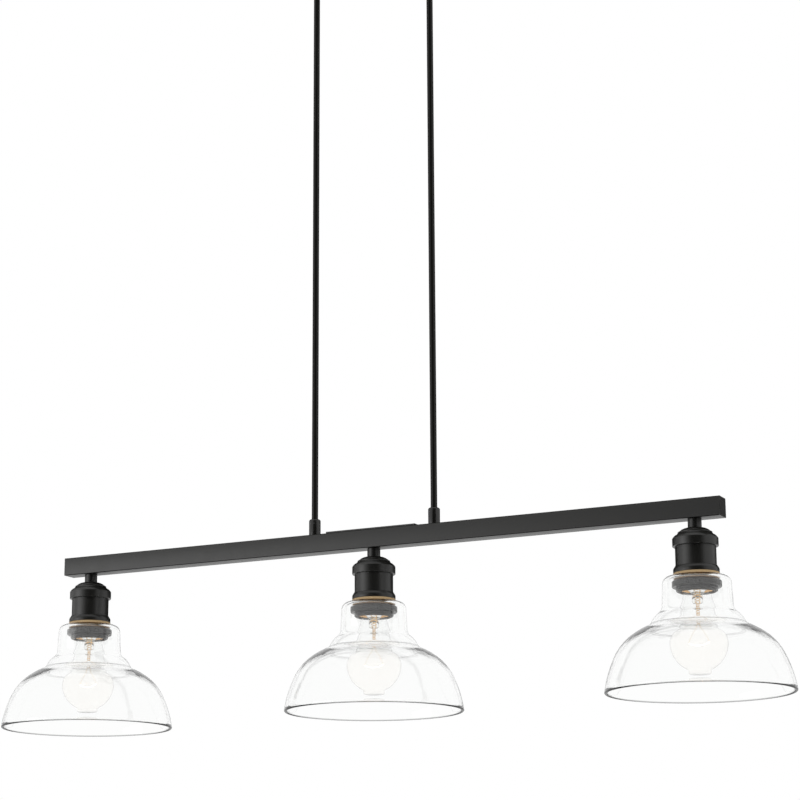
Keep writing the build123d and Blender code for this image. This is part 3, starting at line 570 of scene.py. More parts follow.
def tan_fibre():
    """Pressed fibre of the gaskets."""
    tone = bpy.context.scene.pendant_colours.fibre
    paint = Paint("tan_fibre")
    fibres = paint.noise(size=0.8 * MM, detail=5.0, scale=(1, 1, 3))
    return paint.finished(paint.principled(
        Base_Color=paint.mixed(fibres, rgba(tone, level=0.62), rgba(tone)),
        Roughness=0.75 + fibres * 0.15,
        Normal=paint.bump(fibres, depth=0.08 * MM, strength=0.6)))


def turned_metal(name, tone, roughness):
    """Bare metal with fine marks round its axis."""
    paint = Paint(name)
    marks = paint.noise(size=0.7 * MM, scale=(0.15, 0.15, 4))
    return paint.finished(paint.principled(
        Base_Color=paint.mixed(marks, rgba(tone, level=0.8), rgba(tone)), Metallic=1.0,
        Roughness=roughness + marks * 0.12,
        Normal=paint.bump(marks, depth=0.01 * MM, strength=0.4)))


def plain_coat(name, tone, roughness, lump):
    """Moulded plastic, rubber or paint with a faint surface."""
    paint = Paint(name)
    grain = paint.noise(lump)
    return paint.finished(paint.principled(
        Base_Color=paint.mixed(grain, rgba(tone, level=0.85), rgba(tone)),
        Roughness=roughness + grain * 0.1,
        Normal=paint.bump(grain, depth=0.02 * MM, strength=0.4)))


def glowing(name, tone, strength):
    """Hot wire."""
    paint = Paint(name)
    mottle = paint.noise(size=1.5 * MM, detail=2.0)
    return paint.finished(paint.principled(
        Base_Color=rgba(tone), Roughness=0.5,
        Emission_Color=paint.mixed(mottle, rgba(tone), grey(1.0)), Emission_Strength=strength))


# --- Modelling helpers -------------------------------------------------------------------------
def arc_points(centre, radius, first, last, step=7.5):
    """Points of an arc in an outline, between two angles in degrees from the outward side."""
    count = max(2, round(abs(last - first) / step))
    turns = [radians(first + (last - first) * index / count) for index in range(count + 1)]
    return [(centre[0] + radius * cos(turn), centre[1] + radius * sin(turn)) for turn in turns]


def bow_points(start, end, bow, count=6):
    """Points of a shallow arc that stands out from its chord by bow, to the left of the way."""
    across, up = end[0] - start[0], end[1] - start[1]
    chord = sqrt(across ** 2 + up ** 2)
    points = []
    for index in range(count + 1):
        along = index / count
        out = 4 * bow * along * (1 - along)
        points.append((start[0] + across * along - up / chord * out,
                       start[1] + up * along + across / chord * out))
    return points


def bent(start, corner, end, count):
    """Points of a curve between two points that bends towards a corner."""
    shares = [index / count for index in range(count + 1)]
    return [tuple(start * (1 - t) ** 2 + corner * 2 * t * (1 - t) + end * t * t) for t in shares]


def select_none():
    """Deselects everything, so that the next operator acts on its own piece."""
    if bpy.context.object and bpy.context.object.mode != "OBJECT":
        bpy.ops.object.mode_set(mode="OBJECT")
    bpy.ops.object.select_all(action="DESELECT")


def select_only(piece):
    """Selects one piece and makes it the active one."""
    select_none()
    piece.select_set(True)
    bpy.context.view_layer.objects.active = piece


def select_parts(kind, parts, chosen):
    """Selects the vertices or faces of the active piece that are chosen; leaves it in edit mode."""
    bpy.ops.object.mode_set(mode="EDIT")
    bpy.ops.mesh.select_mode(type=kind)
    bpy.ops.mesh.select_all(action="DESELECT")
    bpy.ops.object.mode_set(mode="OBJECT")
    for part in parts:
        part.select = chosen(part)
    bpy.ops.object.mode_set(mode="EDIT")


def opened_at_axis(outline):
    """The outline, begun on the axis if an edge lies there, and whether it is a closed one."""
    for index, point in enumerate(outline):
        if point[0] == 0 and outline[index - 1][0] == 0:
            return outline[index:] + outline[:index], False
    return outline, True


def chain(name, points):
    """A line of edges, made by extruding one point along the way; it is left in edit mode."""
    select_none()
    bpy.ops.mesh.primitive_plane_add(size=MM, location=(0, 0, 0))
    piece = bpy.context.object
    piece.name = name
    bpy.ops.object.mode_set(mode="EDIT")
    bpy.ops.mesh.select_mode(type="VERT")
    bpy.ops.mesh.merge(type="CENTER")
    bpy.ops.transform.translate(value=points[0])
    for here, there in zip(points, points[1:]):
        bpy.ops.mesh.extrude_region_move(TRANSFORM_OT_translate={"value": there - here})
    return piece


def turned_piece(name, outline, x=0.0, steps=96, smooth=40.0):
    """A piece made by extruding a point along its outline and spinning that about its axis."""
    outline, closed = opened_at_axis(outline)
    piece = chain(name, [Vector((x + radius, 0, height)) for radius, height in outline])
    if closed:
        close_outline(piece)
    bpy.ops.mesh.select_all(action="SELECT")
    bpy.ops.mesh.spin(steps=steps, angle=tau, center=(x, 0, 0), axis=(0, 0, 1))
    bpy.ops.mesh.select_all(action="SELECT")
    bpy.ops.mesh.remove_doubles(threshold=0.001 * MM)
    bpy.ops.mesh.normals_make_consistent(inside=False)
    bpy.ops.object.mode_set(mode="OBJECT")
    bpy.ops.object.shade_smooth_by_angle(angle=radians(smooth))
    return piece


def close_outline(piece):
    """Joins the first and last points of an outline, in edit mode."""
    bpy.ops.object.mode_set(mode="OBJECT")
    ends = Counter(index for edge in piece.data.edges for index in edge.vertices)
    select_parts("VERT", piece.data.vertices, lambda vertex: ends[vertex.index] == 1)
    bpy.ops.mesh.edge_face_add()


def copied(piece, name, shift):
    """A copy of a piece with its own mesh, moved along the bar."""
    select_only(piece)
    bpy.ops.object.duplicate(linked=False)
    copy = bpy.context.object
    copy.name = name
    copy.location.x += shift
    bpy.ops.object.transform_apply(location=True, rotation=True, scale=True)
    return copy


def dressed(piece, material, body, slot, *nodes):
    """Gives a piece its material and its body, and hides the nodes that it stands for."""
    piece.data.materials.clear()
    piece.data.materials.append(material)
    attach(piece, body)
    if nodes:
        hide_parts(*nodes)
    return piece


def one_per_lamp(names, outline, **how):
    """One turned piece with its own mesh at each lamp."""
    start = LAMP_X[LAMPS[0]]
    first = turned_piece(names.format(LAMPS[0]), outline, start, **how)
    return [first] + [copied(first, names.format(name), LAMP_X[name] - start)
                      for name in LAMPS[1:]]


def per_lamp(kind, outline, material, slot, body="pendant", **how):
    """One turned piece for each lamp, each standing for its own node."""
    pieces = one_per_lamp(kind + "_{}_made", outline, **how)
    for piece, name in zip(pieces, LAMPS):
        dressed(piece, material, body.format(name), slot, f"{kind}_{name}")
    return pieces


MOST_CUT = 0.45         # of an edge's length that a slope at its corner may take


def chamfered(outline, *corners, size=0.3 * MM):
    """The outline with the corners at these places cut by a small slope."""
    points = []
    for index, point in enumerate(outline):
        if index not in corners:
            points.append(point)
            continue
        for other in (outline[index - 1], outline[(index + 1) % len(outline)]):
            across, up = other[0] - point[0], other[1] - point[1]
            reach = min(MOST_CUT, size / sqrt(across ** 2 + up ** 2))
            points.append((point[0] + across * reach, point[1] + up * reach))
    return points


# --- The glass shades --------------------------------------------------------------------------
def rim_centre(sizes):
    """Middle of the glass at the rim, which the rim is rounded about."""
    return Vector((sizes.rim_radius - sizes.wall / 2, Z_RIM + sizes.wall / 2))


def outward(turn):
    """Direction of an outline's line that rises by an angle, away from the axis."""
    return Vector((cos(turn), sin(turn)))


def dome_arcs(sizes, thickening):
    """Centre, radius, start and end, in radians of lean, of each of the dome's arcs."""
    centre = rim_centre(sizes) + outward(sizes.rim_turn) * (sizes.wall / 2 - sizes.side_curve)
    curves = (sizes.side_curve, sizes.shoulder_curve - thickening,
              sizes.crown_curve - thickening)
    turns = (sizes.rim_turn, sizes.side_turn, sizes.shoulder_turn, pi / 2)
    arcs = []
    for index, curve in enumerate(curves):
        if index:
            centre = centre + outward(turns[index]) * (curves[index - 1] - curve)
        arcs.append((centre, curve, turns[index], turns[index + 1]))
    return arcs


DOME_TURN = radians(1.5)     # that one short side of the dome's outline spans


def dome_points(sizes, inset, thickening):
    """Outline of the dome outside its step, moved inward, down to the rim."""
    step = Vector((sizes.step_centre_radius, Z_RIM + sizes.step_centre_height))
    points = []
    for centre, curve, first, last in dome_arcs(sizes, thickening)[::-1]:
        count = round((last - first) / DOME_TURN)
        for index in range(count):
            turn = last + (first - last) * (index + 1) / count
            point = centre + outward(turn) * (curve - inset)
            if point.x > step.x and (point - step).length > sizes.step_curve - inset:
                points.append(tuple(point))
    return points


def neck_points(sizes, inset, thickening):
    """Outline of the shade's neck and step, moved inward, from its flat top down to the dome."""
    bend = (sizes.neck_radius - sizes.neck_bend, Z_SHADE_TOP - sizes.neck_bend)
    step = (sizes.step_centre_radius, Z_RIM + sizes.step_centre_height)
    reach = sizes.step_curve + sizes.foot_fillet
    foot_radius = sizes.neck_foot_radius + sizes.foot_fillet
    lean = acos((foot_radius - step[0]) / reach)
    foot = (foot_radius, step[1] + reach * sin(lean))
    degrees = lean / radians(1)
    points = arc_points(bend, sizes.neck_bend - inset, 90, 0)
    points += arc_points(foot, sizes.foot_fillet + inset, 180, 180 + degrees)
    points += arc_points(step, sizes.step_curve - inset, degrees, 0, 3.0)[1:]
    centre, curve = dome_arcs(sizes, thickening)[-1][:2]
    return [point for point in points
            if point[1] > step[1] + sizes.step_curve
            or (Vector(point) - centre).length > curve - inset]


def rounded_ridge(before, after, size):
    """Two outlines that meet at a ridge, joined by a soft curve of the given length."""
    ridge = (Vector(before[-1]) + Vector(after[0])) / 2
    first = [point for point in before if (Vector(point) - ridge).length > size]
    last = [point for point in after if (Vector(point) - ridge).length > size]
    curve = bent(Vector(first[-1]), ridge, Vector(last[0]), 8)
    return first + curve[1:-1] + last


class PENDANT_OT_shades(bpy.types.Operator):
    """Blow the three glass shades"""

    bl_idname = "pendant.shades"
    bl_label = "Glass shades"

    def execute(self, context):
        sizes = context.scene.shade_sizes
        wall = sizes.wall
        outer = [(sizes.hole_radius, Z_SHADE_TOP)]
        outer += rounded_ridge(neck_points(sizes, 0, 0), dome_points(sizes, 0, 0), MM)
        inner = [(sizes.hole_radius, Z_SHADE_TOP - wall)]
        inner += rounded_ridge(neck_points(sizes, wall, sizes.thickening),
                               dome_points(sizes, wall, sizes.thickening), sizes.ridge_round)
        lean = sizes.rim_turn / radians(1)
        rim = arc_points(rim_centre(sizes), wall / 2, lean, lean - 180, step=22.5)
        outline = outer + rim[1:-1] + inner[::-1]
        per_lamp("shade", outline, shared(clear_glass), "clear_glass", steps=144, smooth=40.0)
        return {"FINISHED"}


# --- Cups, posts and gaskets -------------------------------------------------------------------
class PENDANT_OT_cups(bpy.types.Operator):
    """Turn the lamp cups in their two halves"""

    bl_idname = "pendant.cups"
    bl_label = "Lamp cups"

    def execute(self, context):
        sizes = context.scene.cup_sizes
        flange = sizes.radius + sizes.flange
        foot = (flange - sizes.dome_foot_inset, Z_CUP_TOP - sizes.dome_height)
        shoulder = (flange, foot[1] - sizes.cap_shoulder)
        roof = Z_CUP_TOP - sizes.cap_roof
        inside = sizes.radius - sizes.cap_wall
        cap = [(sizes.thread_hole, Z_CUP_TOP)]
        cap += bow_points((sizes.dome_top_radius, Z_CUP_TOP), foot, sizes.dome_bow)
        cap += bow_points(foot, shoulder, sizes.cap_shoulder_bow)[1:]
        cap += arc_points((flange - sizes.edge, Z_SKIRT_BASE + sizes.edge), sizes.edge, 0, -90, 30)
        cap += [(sizes.radius + FIT, Z_SKIRT_BASE), (sizes.radius + FIT, Z_BODY_TOP),
                (inside, Z_BODY_TOP), (inside, roof - sizes.cap_slope_height),
                (inside - sizes.cap_slope, roof), (sizes.thread_hole, roof)]
        material = shared(black_satin)
        per_lamp("cup_cap", cap, material, "black_metal", smooth=30.0)
        ledge = Z_GASKET_TOP + sizes.ledge_height
        ledge_foot = (sizes.radius + sizes.ledge_out, ledge - sizes.ledge_thickness)
        bore = sizes.radius - sizes.wall
        body = [(bore, Z_GASKET_TOP), (bore, Z_BODY_TOP), (sizes.radius, Z_BODY_TOP),
                (sizes.radius, ledge), (ledge_foot[0] - sizes.ledge_edge, ledge),
                (ledge_foot[0], ledge - sizes.ledge_edge)]
        body += bow_points(ledge_foot, (flange, ledge_foot[1] - sizes.shoulder),
                           sizes.shoulder_bow)
        body += arc_points((flange - sizes.edge, Z_GASKET_TOP + sizes.edge), sizes.edge, 0, -90, 30)
        per_lamp("cup_body", body, material, "black_metal", smooth=30.0)
        return {"FINISHED"}


class PENDANT_OT_posts(bpy.types.Operator):
    """Turn the posts between the bar and the cups"""

    bl_idname = "pendant.posts"
    bl_label = "Posts"

    def execute(self, context):
        sizes = context.scene.cup_sizes
        outline = [(sizes.thread_hole, Z_CUP_TOP), (sizes.post_radius, Z_CUP_TOP),
                   (sizes.post_radius, Z_BAR_BASE), (sizes.thread_hole, Z_BAR_BASE)]
        per_lamp("post", chamfered(outline, 1, 2), shared(black_satin), "black_metal", smooth=30.0)
        return {"FINISHED"}


class PENDANT_OT_gaskets(bpy.types.Operator):
    """Cut the fibre gaskets between the cups and the glass"""

    bl_idname = "pendant.gaskets"
    bl_label = "Gaskets"

    def execute(self, context):
        holder = context.scene.holder_sizes
        radius = high("shade_gaskets").x - LAMP_X["right"]
        bore = holder.sleeve_radius + holder.sleeve_gap
        outline = [(bore, Z_SHADE_TOP), (radius, Z_SHADE_TOP), (radius, Z_GASKET_TOP),
                   (bore, Z_GASKET_TOP)]
        outline = chamfered(outline, 1, 2, size=0.5 * MM)
        for piece in one_per_lamp("gasket_{}", outline, smooth=30.0):
            dressed(piece, shared(tan_fibre), "pendant", "tan_fibre", "shade_gaskets")
        return {"FINISHED"}


# --- Lampholders, brass shells and rings -------------------------------------------------------
CREST_END, ROOT = 0.35, 0.65     # shares of a thread's pitch where its crest ends, and of its root
NOTCH_SHARE = 0.2                # of the way from one grip of a ring to the next that is pressed in


class PENDANT_OT_lampholders(bpy.types.Operator):
    """Mould the lampholders with their threaded sleeves"""

    bl_idname = "pendant.lampholders"
    bl_label = "Lampholders"

    def execute(self, context):
        sizes = context.scene.holder_sizes
        cup = context.scene.cup_sizes
        mouth = sizes.sleeve_radius - sizes.sleeve_wall
        mouth_top = Z_SLEEVE_BASE + sizes.mouth_depth
        shell = sizes.shell_radius + FIT
        hub_top = high("lampholder_centre").z
        top = hub_top - sizes.hub_height
        roof = top - sizes.roof
        body = cup.radius - cup.wall - sizes.sleeve_gap
        outline = [(mouth, Z_SLEEVE_BASE + sizes.mouth_edge),
                   (mouth + sizes.mouth_edge, Z_SLEEVE_BASE),
                   (sizes.sleeve_radius - sizes.sleeve_edge, Z_SLEEVE_BASE)]
        height = Z_SLEEVE_BASE + sizes.sleeve_edge
        while height < Z_GASKET_TOP - 2 * sizes.thread_pitch:
            outline += [(sizes.sleeve_radius, height),
                        (sizes.sleeve_radius, height + sizes.thread_pitch * CREST_END),
                        (sizes.sleeve_radius - sizes.thread_depth,
                         height + sizes.thread_pitch * ROOT)]
            height += sizes.thread_pitch
        outline += [(sizes.sleeve_radius, height), (sizes.sleeve_radius, Z_GASKET_TOP),
                    (body, Z_GASKET_TOP), (body, top), (sizes.hub_radius, top),
                    (sizes.hub_radius, hub_top), (cup.thread_hole, hub_top),
                    (cup.thread_hole, top), (0, top), (0, roof), (shell, roof),
                    (shell, mouth_top), (mouth, mouth_top)]
        per_lamp("lampholder", outline, shared(moulded_black), "black_moulding", smooth=30.0)
        return {"FINISHED"}


class PENDANT_OT_shells(bpy.types.Operator):
    """Press the brass screw shells"""

    bl_idname = "pendant.shells"
    bl_label = "Screw shells"

    def execute(self, context):
        sizes = context.scene.holder_sizes
        base = Z_SLEEVE_BASE + sizes.mouth_depth
        top = high("screw_shell_centre").z
        flare = high("screw_shell_right").x - LAMP_X["right"]
        mouth = low("screw_shell_centre").z
        bore = sizes.shell_radius - sizes.shell_wall
        outer = [(sizes.shell_radius, top), (sizes.shell_radius, base), (flare, mouth)]
        inner = [(flare - sizes.shell_wall, mouth), (bore, base), (bore, top)]
        brass = turned_metal("brass", context.scene.pendant_colours.brass, 0.22)
        per_lamp("screw_shell", outer + inner, brass, "shell_brass", smooth=30.0)
        return {"FINISHED"}


class PENDANT_OT_rings(bpy.types.Operator):
    """Turn and notch the rings that clamp the shades"""

    bl_idname = "pendant.rings"
    bl_label = "Shade rings"

    def execute(self, context):
        sizes = context.scene.holder_sizes
        top = high("shade_ring_centre").z
        base = low("shade_ring_centre").z
        waist = top - sizes.ring_flange
        bore = sizes.sleeve_radius + sizes.ring_gap
        collar = bore + sizes.ring_collar
        outline = [(bore, top), (sizes.ring_radius - sizes.ring_chamfer, top),
                   (sizes.ring_radius, top - sizes.ring_chamfer), (sizes.ring_radius, waist),
                   (collar, waist), (collar, base), (bore, base)]
        outline = chamfered(outline, 3, 5, size=0.5 * MM)
        rings = per_lamp("shade_ring", outline, shared(black_satin), "black_hardware",
                         body="ring_{}", steps=144, smooth=30.0)
        for ring, name in zip(rings, LAMPS):
            press_grips(ring, LAMP_X[name], sizes)
        return {"FINISHED"}


def press_grips(ring, x, sizes):
    """Presses shallow grips into a ring's outer wall."""
    inner = sizes.ring_radius - sizes.notch_depth
    pitch = tau / sizes.notches

    def in_grip(vertex):
        place = Vector((vertex.co.x - x, vertex.co.y))
        share_of_pitch = (place.angle_signed(Vector((1, 0)), 0.0) % pitch) / pitch
        return place.length > inner and share_of_pitch < NOTCH_SHARE

    select_only(ring)
    select_parts("VERT", ring.data.vertices, in_grip)
    ratio = inner / sizes.ring_radius
    bpy.ops.transform.resize(value=(ratio, ratio, 1), center_override=(x, 0, 0))
    bpy.ops.object.mode_set(mode="OBJECT")


# --- Bulbs -------------------------------------------------------------------------------------
LEAD_START = 0.2 * MM            # how far inside the stem the leads begin


def bulb_points(sizes, inset):
    """Outline of a bulb's glass from its foot to the middle of its tip, moved inward."""
    centre = (0, Z_RIM + sizes.centre_height)
    radius = sizes.radius - inset
    foot = Vector((sizes.neck_radius - inset, Z_BULB_FOOT))
    middle = Vector((sizes.mid_radius - inset, Z_RIM + sizes.mid_height))
    join = Vector((radius * cos(sizes.join_angle), centre[1] + radius * sin(sizes.join_angle)))
    down = Vector((sin(sizes.join_angle), -cos(sizes.join_angle)))
    slope = (middle - foot).normalized()
    points = curve_points(foot, middle, slope, slope, 6)
    points += curve_points(middle, join, slope, down, 8)[1:]
    tip_radius = sizes.tip_radius - inset
    tip_turn = -acos(tip_radius / radius) / radians(1)
    points += arc_points(centre, radius, sizes.join_angle / radians(1), tip_turn, step=4.0)[1:]
    base = centre[1] - sizes.radius - sizes.tip_drop + inset
    edge = sizes.tip_edge
    points += arc_points((tip_radius - edge, base + edge), edge, 0, -90, step=22.5)
    return softened(points + [(0, base)])


def softened(points, reach=0.8):
    """The outline with the corner at the foot of its tip drawn out into a hollow curve."""
    corner = max(range(1, len(points) - 1), key=lambda index: turn_at(points, index))
    before, at, after = (Vector(points[corner + step]) for step in (-1, 0, 1))
    curve = bent(at.lerp(before, reach), at, at.lerp(after, reach), 4)
    return points[:corner] + curve + points[corner + 1:]


def turn_at(points, index):
    """How sharply an outline turns to the left at one of its points."""
    before = Vector(points[index]) - Vector(points[index - 1])
    after = Vector(points[index + 1]) - Vector(points[index])
    return before.normalized().cross(after.normalized())


def curve_points(start, end, start_way, end_way, count):
    """Points of a smooth curve between two points with given directions."""
    reach = (end - start).length
    points = []
    for index in range(count + 1):
        t = index / count
        point = start * (1 + 2 * t) * (1 - t) ** 2 + end * t * t * (3 - 2 * t)
        point += start_way * reach * t * (1 - t) ** 2 - end_way * reach * t * t * (1 - t)
        points.append(tuple(point))
    return points


class PENDANT_OT_bulbs(bpy.types.Operator):
    """Blow the bulbs"""

    bl_idname = "pendant.bulbs"
    bl_label = "Bulb glass"

    def execute(self, context):
        sizes = context.scene.bulb_sizes
        outline = bulb_points(sizes, 0) + bulb_points(sizes, sizes.wall)[::-1]
        per_lamp("bulb_glass", outline, shared(bulb_glass), "bulb_glass", body="bulb_{}")
        return {"FINISHED"}


class PENDANT_OT_caps(bpy.types.Operator):
    """Roll the screw caps of the bulbs"""

    bl_idname = "pendant.caps"
    bl_label = "Bulb caps"

    def execute(self, context):
        sizes = context.scene.bulb_sizes
        root = sizes.cap_radius - sizes.cap_depth
        height = Z_BULB_FOOT + sizes.cap_skirt
        tip = Z_BULB_TOP - sizes.contact_gap
        cone_top = tip - sizes.contact_height
        cone_foot = cone_top - sizes.cap_cone
        inside = root - sizes.cap_wall
        outline = [(inside, Z_BULB_FOOT), (sizes.cap_radius, Z_BULB_FOOT),
                   (sizes.cap_radius, height - sizes.cap_wall)]
        while height < cone_foot - FIT:
            outline += bow_points((root, height), (root, height + sizes.cap_pitch),
                                  -sizes.cap_depth)[:-1]
            height += sizes.cap_pitch
        outline += [(root, cone_foot), (sizes.contact_radius, cone_top),
                    (sizes.contact_radius, tip - sizes.contact_edge),
                    (sizes.contact_radius - sizes.contact_edge, tip), (0, tip), (0, cone_foot),
                    (inside, cone_foot)]
        metal = turned_metal("cap_metal", (0.72, 0.70, 0.66), 0.25)
        per_lamp("bulb_cap", outline, metal, "cap_metal", body="bulb_{}", smooth=30.0)
        return {"FINISHED"}


class PENDANT_OT_stems(bpy.types.Operator):
    """Draw the glass stems in the bulbs"""

    bl_idname = "pendant.stems"
    bl_label = "Bulb stems"

    def execute(self, context):
        sizes = context.scene.bulb_sizes
        flare = sizes.neck_radius - sizes.wall - sizes.flare_gap
        shoulder = Z_BULB_FOOT - sizes.stem_length
        end = shoulder - sizes.press_length
        turn = sizes.stem_round
        outline = [(0, Z_BULB_FOOT)]
        outline += bow_points((flare, Z_BULB_FOOT),
                              (sizes.stem_radius, Z_BULB_FOOT - sizes.flare_height),
                              -sizes.flare_bow)
        outline += arc_points((sizes.stem_radius - turn, shoulder + turn), turn, 0, -90, step=15)
        outline += [(sizes.press_radius, shoulder), (sizes.press_radius, end + sizes.press_edge),
                    (sizes.press_radius - sizes.press_edge, end), (0, end)]
        per_lamp("bulb_stem", outline, shared(stem_glass), "bulb_glass", body="bulb_{}", steps=48)
        return {"FINISHED"}


class PENDANT_OT_filaments(bpy.types.Operator):
    """Wind the filaments on their leads"""

    bl_idname = "pendant.filaments"
    bl_label = "Filaments"

    def execute(self, context):
        sizes = context.scene.bulb_sizes
        tone = context.scene.pendant_colours.glow
        hot = glowing("hot_wire", tone, strength=8.0)
        amber = turned_metal("lead_metal", (0.85, 0.55, 0.2), 0.25)
        for name in LAMPS:
            wires = [(f"filament_{name}", coil_points(sizes, LAMP_X[name]), sizes.coil_wire, hot)]
            for word, side in (("left", -1), ("right", 1)):
                wires.append((f"lead_{name}_{word}", lead_points(sizes, LAMP_X[name], side),
                              sizes.lead_radius, amber))
            for wire, points, radius, metal in wires:
                dressed(wire_mesh(wire, points, radius), metal, f"bulb_{name}", "filament_wire",
                        f"bulb_filament_{name}")
            self.light_glow(name, sizes, tone)
        return {"FINISHED"}

    def light_glow(self, name, sizes, tone):
        """A small warm light at the filament."""
        select_none()
        place = (LAMP_X[name], 0, Z_RIM + sizes.filament_height)
        bpy.ops.object.light_add(type="POINT", radius=6 * MM, location=place)
        glow = bpy.context.object
        glow.name = f"glow_{name}"
        glow.data.energy = 0.08
        glow.data.color = tone
        glow.visible_camera = False
        glow.visible_glossy = False
        glow.visible_transmission = False
        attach(glow, f"bulb_{name}")


def lead_points(sizes, x, side, per_turn=12, narrowing=0.6):
    """Points of one lead: wound down the stem with the other, then out to the filament."""
    drop = sizes.stem_length + sizes.press_length
    count = sizes.lead_turns * per_turn
    points = []
    for index in range(count + 1):
        along = index / count
        turn = tau * sizes.lead_turns * along + (pi if side < 0 else 0.0)
        radius = sizes.lead_winding * (1 - narrowing * along)
        points.append(Vector((x + radius * cos(turn), radius * sin(turn),
                              Z_BULB_FOOT - LEAD_START - (drop - LEAD_START) * along)))
    end = Vector((x + side * sizes.filament_spread, 0, Z_RIM + sizes.filament_height))
    return points + [end]


def coil_points(sizes, x, per_turn=8):
    """Points of the coiled filament along its sagging arc."""
    count = sizes.coil_turns * per_turn
    points = []
    for index in range(count + 1):
        along = 2 * index / count - 1
        turn = tau * index / per_turn
        height = sizes.filament_height - sizes.filament_sag * (1 - along ** 2)
        points.append(Vector((x + along * sizes.filament_spread, sizes.coil_radius * cos(turn),
                              Z_RIM + height + sizes.coil_radius * sin(turn))))
    return points


def wire_mesh(name, points, radius):
    """A thin round wire through the points, as a mesh."""
    wire = chain(name, points)
    bpy.ops.object.mode_set(mode="OBJECT")
    bpy.ops.object.convert(target="CURVE")
    wire = bpy.context.object
    wire.data.bevel_depth = radius
    wire.data.bevel_resolution = 2
    wire.data.use_fill_caps = True
    bpy.ops.object.convert(target="MESH")
    bpy.ops.object.shade_smooth()
    return bpy.context.object


# --- Bar, rods and couplings -------------------------------------------------------------------
class PENDANT_OT_bar(bpy.types.Operator):
    """Form the square bar with its rounded edges"""

    bl_idname = "pendant.bar"
    bl_label = "Bar"

    def execute(self, context):
        sizes = context.scene.frame_sizes
        lowest, highest = low("bar_tube"), high("bar_tube")
        select_none()
        bpy.ops.mesh.primitive_cube_add(size=1, location=(lowest + highest) / 2)
        bar = bpy.context.object
        bar.name = "bar_made"
        bar.scale = highest - lowest
        bpy.ops.object.transform_apply(location=True, rotation=True, scale=True)
        select_parts("FACE", bar.data.polygons, lambda face: abs(face.normal.x) > 0.5)
        bpy.ops.mesh.delete(type="FACE")
        bpy.ops.object.mode_set(mode="OBJECT")
        edges = bar.modifiers.new("edges", "BEVEL")
        edges.width = sizes.bar_edge
        edges.segments = 4
        bpy.ops.object.modifier_apply(modifier=edges.name)
        wall = bar.modifiers.new("wall", "SOLIDIFY")
        wall.thickness = sizes.bar_wall
        wall.offset = -1
        wall.use_even_offset = True
        bpy.ops.object.modifier_apply(modifier=wall.name)
        bpy.ops.object.shade_smooth_by_angle(angle=radians(35))
        dressed(bar, shared(black_satin), "pendant", "black_metal", "bar_tube")
        self.paint_edge_shade(bar)
        return {"FINISHED"}

    def paint_edge_shade(self, bar, flat=0.98):
        """Gives the rounded long edges, whose faces lie across the axes, a darker matt coat as
        painted shade.
        """
        bar.data.materials.append(shared(painted_edge_shade))
        # painted shade: the edge faces take the darker matt coat
        select_parts("FACE", bar.data.polygons,
                     lambda face: max(abs(part) for part in face.normal) < flat)
        bar.active_material_index = 1
        bpy.ops.object.material_slot_assign()
        bpy.ops.object.mode_set(mode="OBJECT")


class PENDANT_OT_rods(bpy.types.Operator):
    """Draw the hanging rods"""

    bl_idname = "pendant.rods"
    bl_label = "Rods"

    def execute(self, context):
        sizes = context.scene.frame_sizes
        radius, bore = sizes.rod_radius, sizes.rod_radius - sizes.rod_wall
        for name in SIDES:
            node = f"rod_{name}"
            foot, top = low(node).z, high(node).z
            outline = [(bore, foot), (radius, foot), (radius, top), (bore, top)]
            rod = turned_piece(f"{node}_made", outline, ROD_X[name], steps=48, smooth=30.0)
            dressed(rod, shared(rod_coat_painted_shade), "pendant", "black_metal", node)
        return {"FINISHED"}


class PENDANT_OT_couplings(bpy.types.Operator):
    """Turn the couplings at the rods' feet"""

    bl_idname = "pendant.couplings"
    bl_label = "Couplings"

    def execute(self, context):
        sizes = context.scene.frame_sizes
        bore = sizes.rod_radius + FIT
        outline = [(bore, Z_BAR_TOP), (sizes.coupling_radius, Z_BAR_TOP)]
        outline += bow_points((sizes.coupling_radius, Z_COUPLING_TOP - sizes.coupling_chamfer),
                              (sizes.coupling_radius - sizes.coupling_chamfer, Z_COUPLING_TOP),
                              -sizes.coupling_bow)
        outline.append((bore, Z_COUPLING_TOP))
        outline = chamfered(outline, 1)
        for name in SIDES:
            node = f"coupling_{name}"
            piece = turned_piece(f"{node}_made", outline, ROD_X[name], steps=64, smooth=30.0)
            dressed(piece, shared(black_gloss), "pendant", "black_metal", node)
        return {"FINISHED"}


# --- The nodes that are kept -------------------------------------------------------------------
class PENDANT_OT_kept(bpy.types.Operator):
    """Paint the pieces whose solids are kept"""

    bl_idname = "pendant.kept"
    bl_label = "Kept pieces"

    def execute(self, context):
        colours = context.scene.pendant_colours
        finishes = {
            "black_metal": shared(black_satin),
            "black_hardware": shared(black_gloss),
            "zinc_steel": turned_metal("zinc_steel", (0.62, 0.62, 0.60), 0.32),
            "green_steel": plain_coat("green_steel", (0.05, 0.32, 0.10), 0.35, 2 * MM),
            "shell_brass": turned_metal("contact_brass", colours.brass, 0.25),
            "white_moulding": plain_coat("white_moulding", (0.82, 0.82, 0.78), 0.35, 3 * MM),
            "wire_insulation": plain_coat("wire_insulation", (0.75, 0.75, 0.72), 0.45, 1 * MM),
            "connector_plastic": plain_coat("connector_plastic", (0.80, 0.35, 0.06), 0.4, 1 * MM),
        }
        for row in frame["record"]["subparts"]:
            node = frame["nodes"][row["node"]]
            if node.hide_render or row["material_slot"] not in finishes:
                continue
            for place in node.material_slots:
                place.material = finishes[row["material_slot"]]
        return {"FINISHED"}


# --- Stage -------------------------------------------------------------------------------------
SEEN = ("Camera", "Glossy", "Transmission")     # kinds of ray that show the white surround


